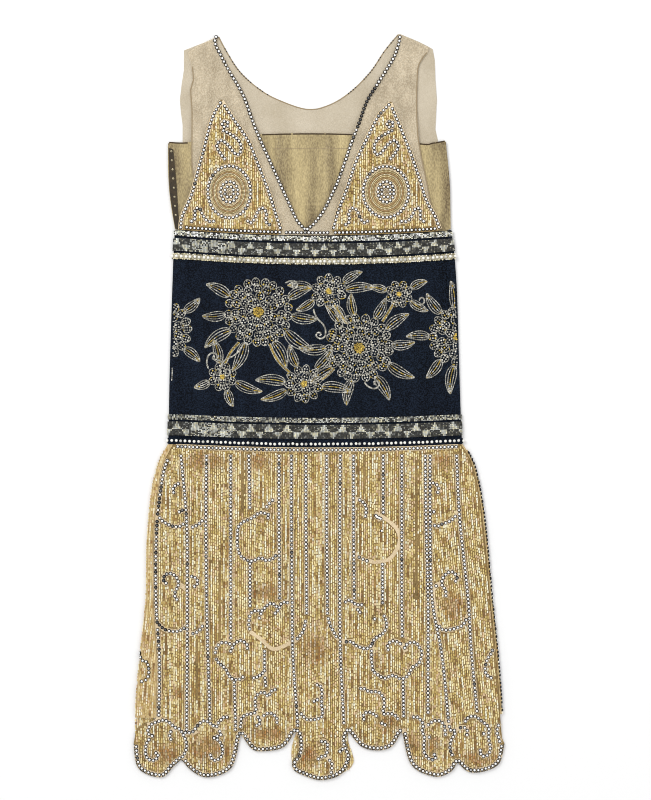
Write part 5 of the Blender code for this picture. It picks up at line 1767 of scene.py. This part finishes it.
def make_cloth():
    cloth("chiffon_back", "bodice_back", "chiffon", bodice_back_outline(), (7, 9),
          flat_on(chiffon_back_top), flat_on(level(0.0)), "chiffon_back")
    cloth("chiffon_front", "bodice_front", "chiffon", bodice_front_outline(), (4, 6),
          *laid(chiffon_top), "chiffon")
    cloth("silk_back", "under_bodice_back", "gold_silk", gold_outline(1.5, 2, 12), (16, 24),
          flat_on(level(GOLD_BACK_BASE + 0.7)), flat_on(level(GOLD_BACK_BASE)), "silk")
    cloth("silk_front", "under_bodice_front", "gold_silk", gold_outline(0, 0, 5), (3, 5),
          *laid(silk_top), "silk")
    outer = curve(((-218, 166), (-217, 219), (-214, 248), (-208.5, 283)), 6)
    inner = curve(((-202.5, 284), (-204, 262), (-207, 215), (-211.5, 168)), 6)
    cloth("placket_tape", "side_placket", "dark_placket", np.vstack([outer, inner]), (3, 4),
          flat_on(silk_top, LAYER_GAP + 0.9), flat_on(silk_top, LAYER_GAP), "placket")
    for name, sizes in POINTS.items():
        cloth("net_" + name[7:], name, "bugle_beads", point_outline(sizes), (4, 6), *laid(point_top), "net")
    outline, creases = band_back_outline()
    cloth("crepe_back", "band_back", "navy_crepe", outline, (12, 12), *folded(BAND, 0.6), "crepe", creases)
    cloth("crepe_front", "band_front", "navy_crepe", band_front_outline(), (4, 8),
          *laid(band_surface, 0.6), "crepe")
    outline, creases = skirt_back_outline()
    cloth("skirt_net_back", "skirt_back", "beaded_mesh_back", outline, (12, 12), *folded(SKIRT, 0.8),
          "back_net", creases)
    cloth("skirt_net_front", "skirt_front", "bugle_beads", skirt_front_outline(), (4.5, 9),
          *laid(skirt_top), "net")


def make_stage():
    mesh = bpy.data.meshes.new("floor")
    corners = [(x * FLOOR_HALF, y * FLOOR_HALF, 0) for x, y in ((-1, -1), (1, -1), (1, 1), (-1, 1))]
    mesh.from_pydata(corners, [], [(0, 1, 2, 3)])
    mesh.materials.append(new_look("floor", (0.93, 0.93, 0.93), 0.9))
    floor = bpy.data.objects.new("floor", mesh)
    floor.location.z = -FLOOR_LOWER
    bpy.context.scene.collection.objects.link(floor)
    world = bpy.data.worlds.new("world")
    bpy.context.scene.world = world
    world.use_nodes = True
    sky = world.node_tree.nodes["Background"]
    sky.inputs["Color"].default_value = (1, 1, 1, 1)
    sky.inputs["Strength"].default_value = SKY_STRENGTH
    for name, spot, size, power in LIGHTS:
        lamp = bpy.data.lights.new(name, "AREA")
        lamp.size = size
        lamp.energy = power
        obj = bpy.data.objects.new(name, lamp)
        obj.location = spot
        obj.rotation_euler = Vector(spot).to_track_quat("Z", "Y").to_euler()
        bpy.context.scene.collection.objects.link(obj)


def make_camera():
    camera = bpy.data.cameras.new("camera")
    camera.type = "PERSP"
    camera.lens = LENS
    camera.sensor_width = SENSOR
    obj = bpy.data.objects.new("camera", camera)
    obj.location = (CAMERA_X, CAMERA_Y, 0.004 + SEEN_HEIGHT * LENS / SENSOR)
    bpy.context.scene.collection.objects.link(obj)
    bpy.context.scene.camera = obj


def make_render():
    scene = bpy.context.scene
    scene.render.engine = "CYCLES"
    scene.view_settings.view_transform = "Standard"
    scene.view_settings.look = "None"
    scene.cycles.transparent_max_bounces = 16
    scene.cycles.filter_width = 1.0


def main():
    for obj in list(bpy.data.objects):
        bpy.data.objects.remove(obj)
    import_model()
    LOOKS.update(make_looks())
    make_cloth()
    for row in TRIMS:
        make_trim(*row)
    make_skirt_beads()
    make_fringe()
    make_return_beads()
    make_point_beads()
    make_bodice_beads()
    make_edges()
    make_snaps()
    make_embroidery()
    make_stage()
    make_camera()
    make_render()


main()
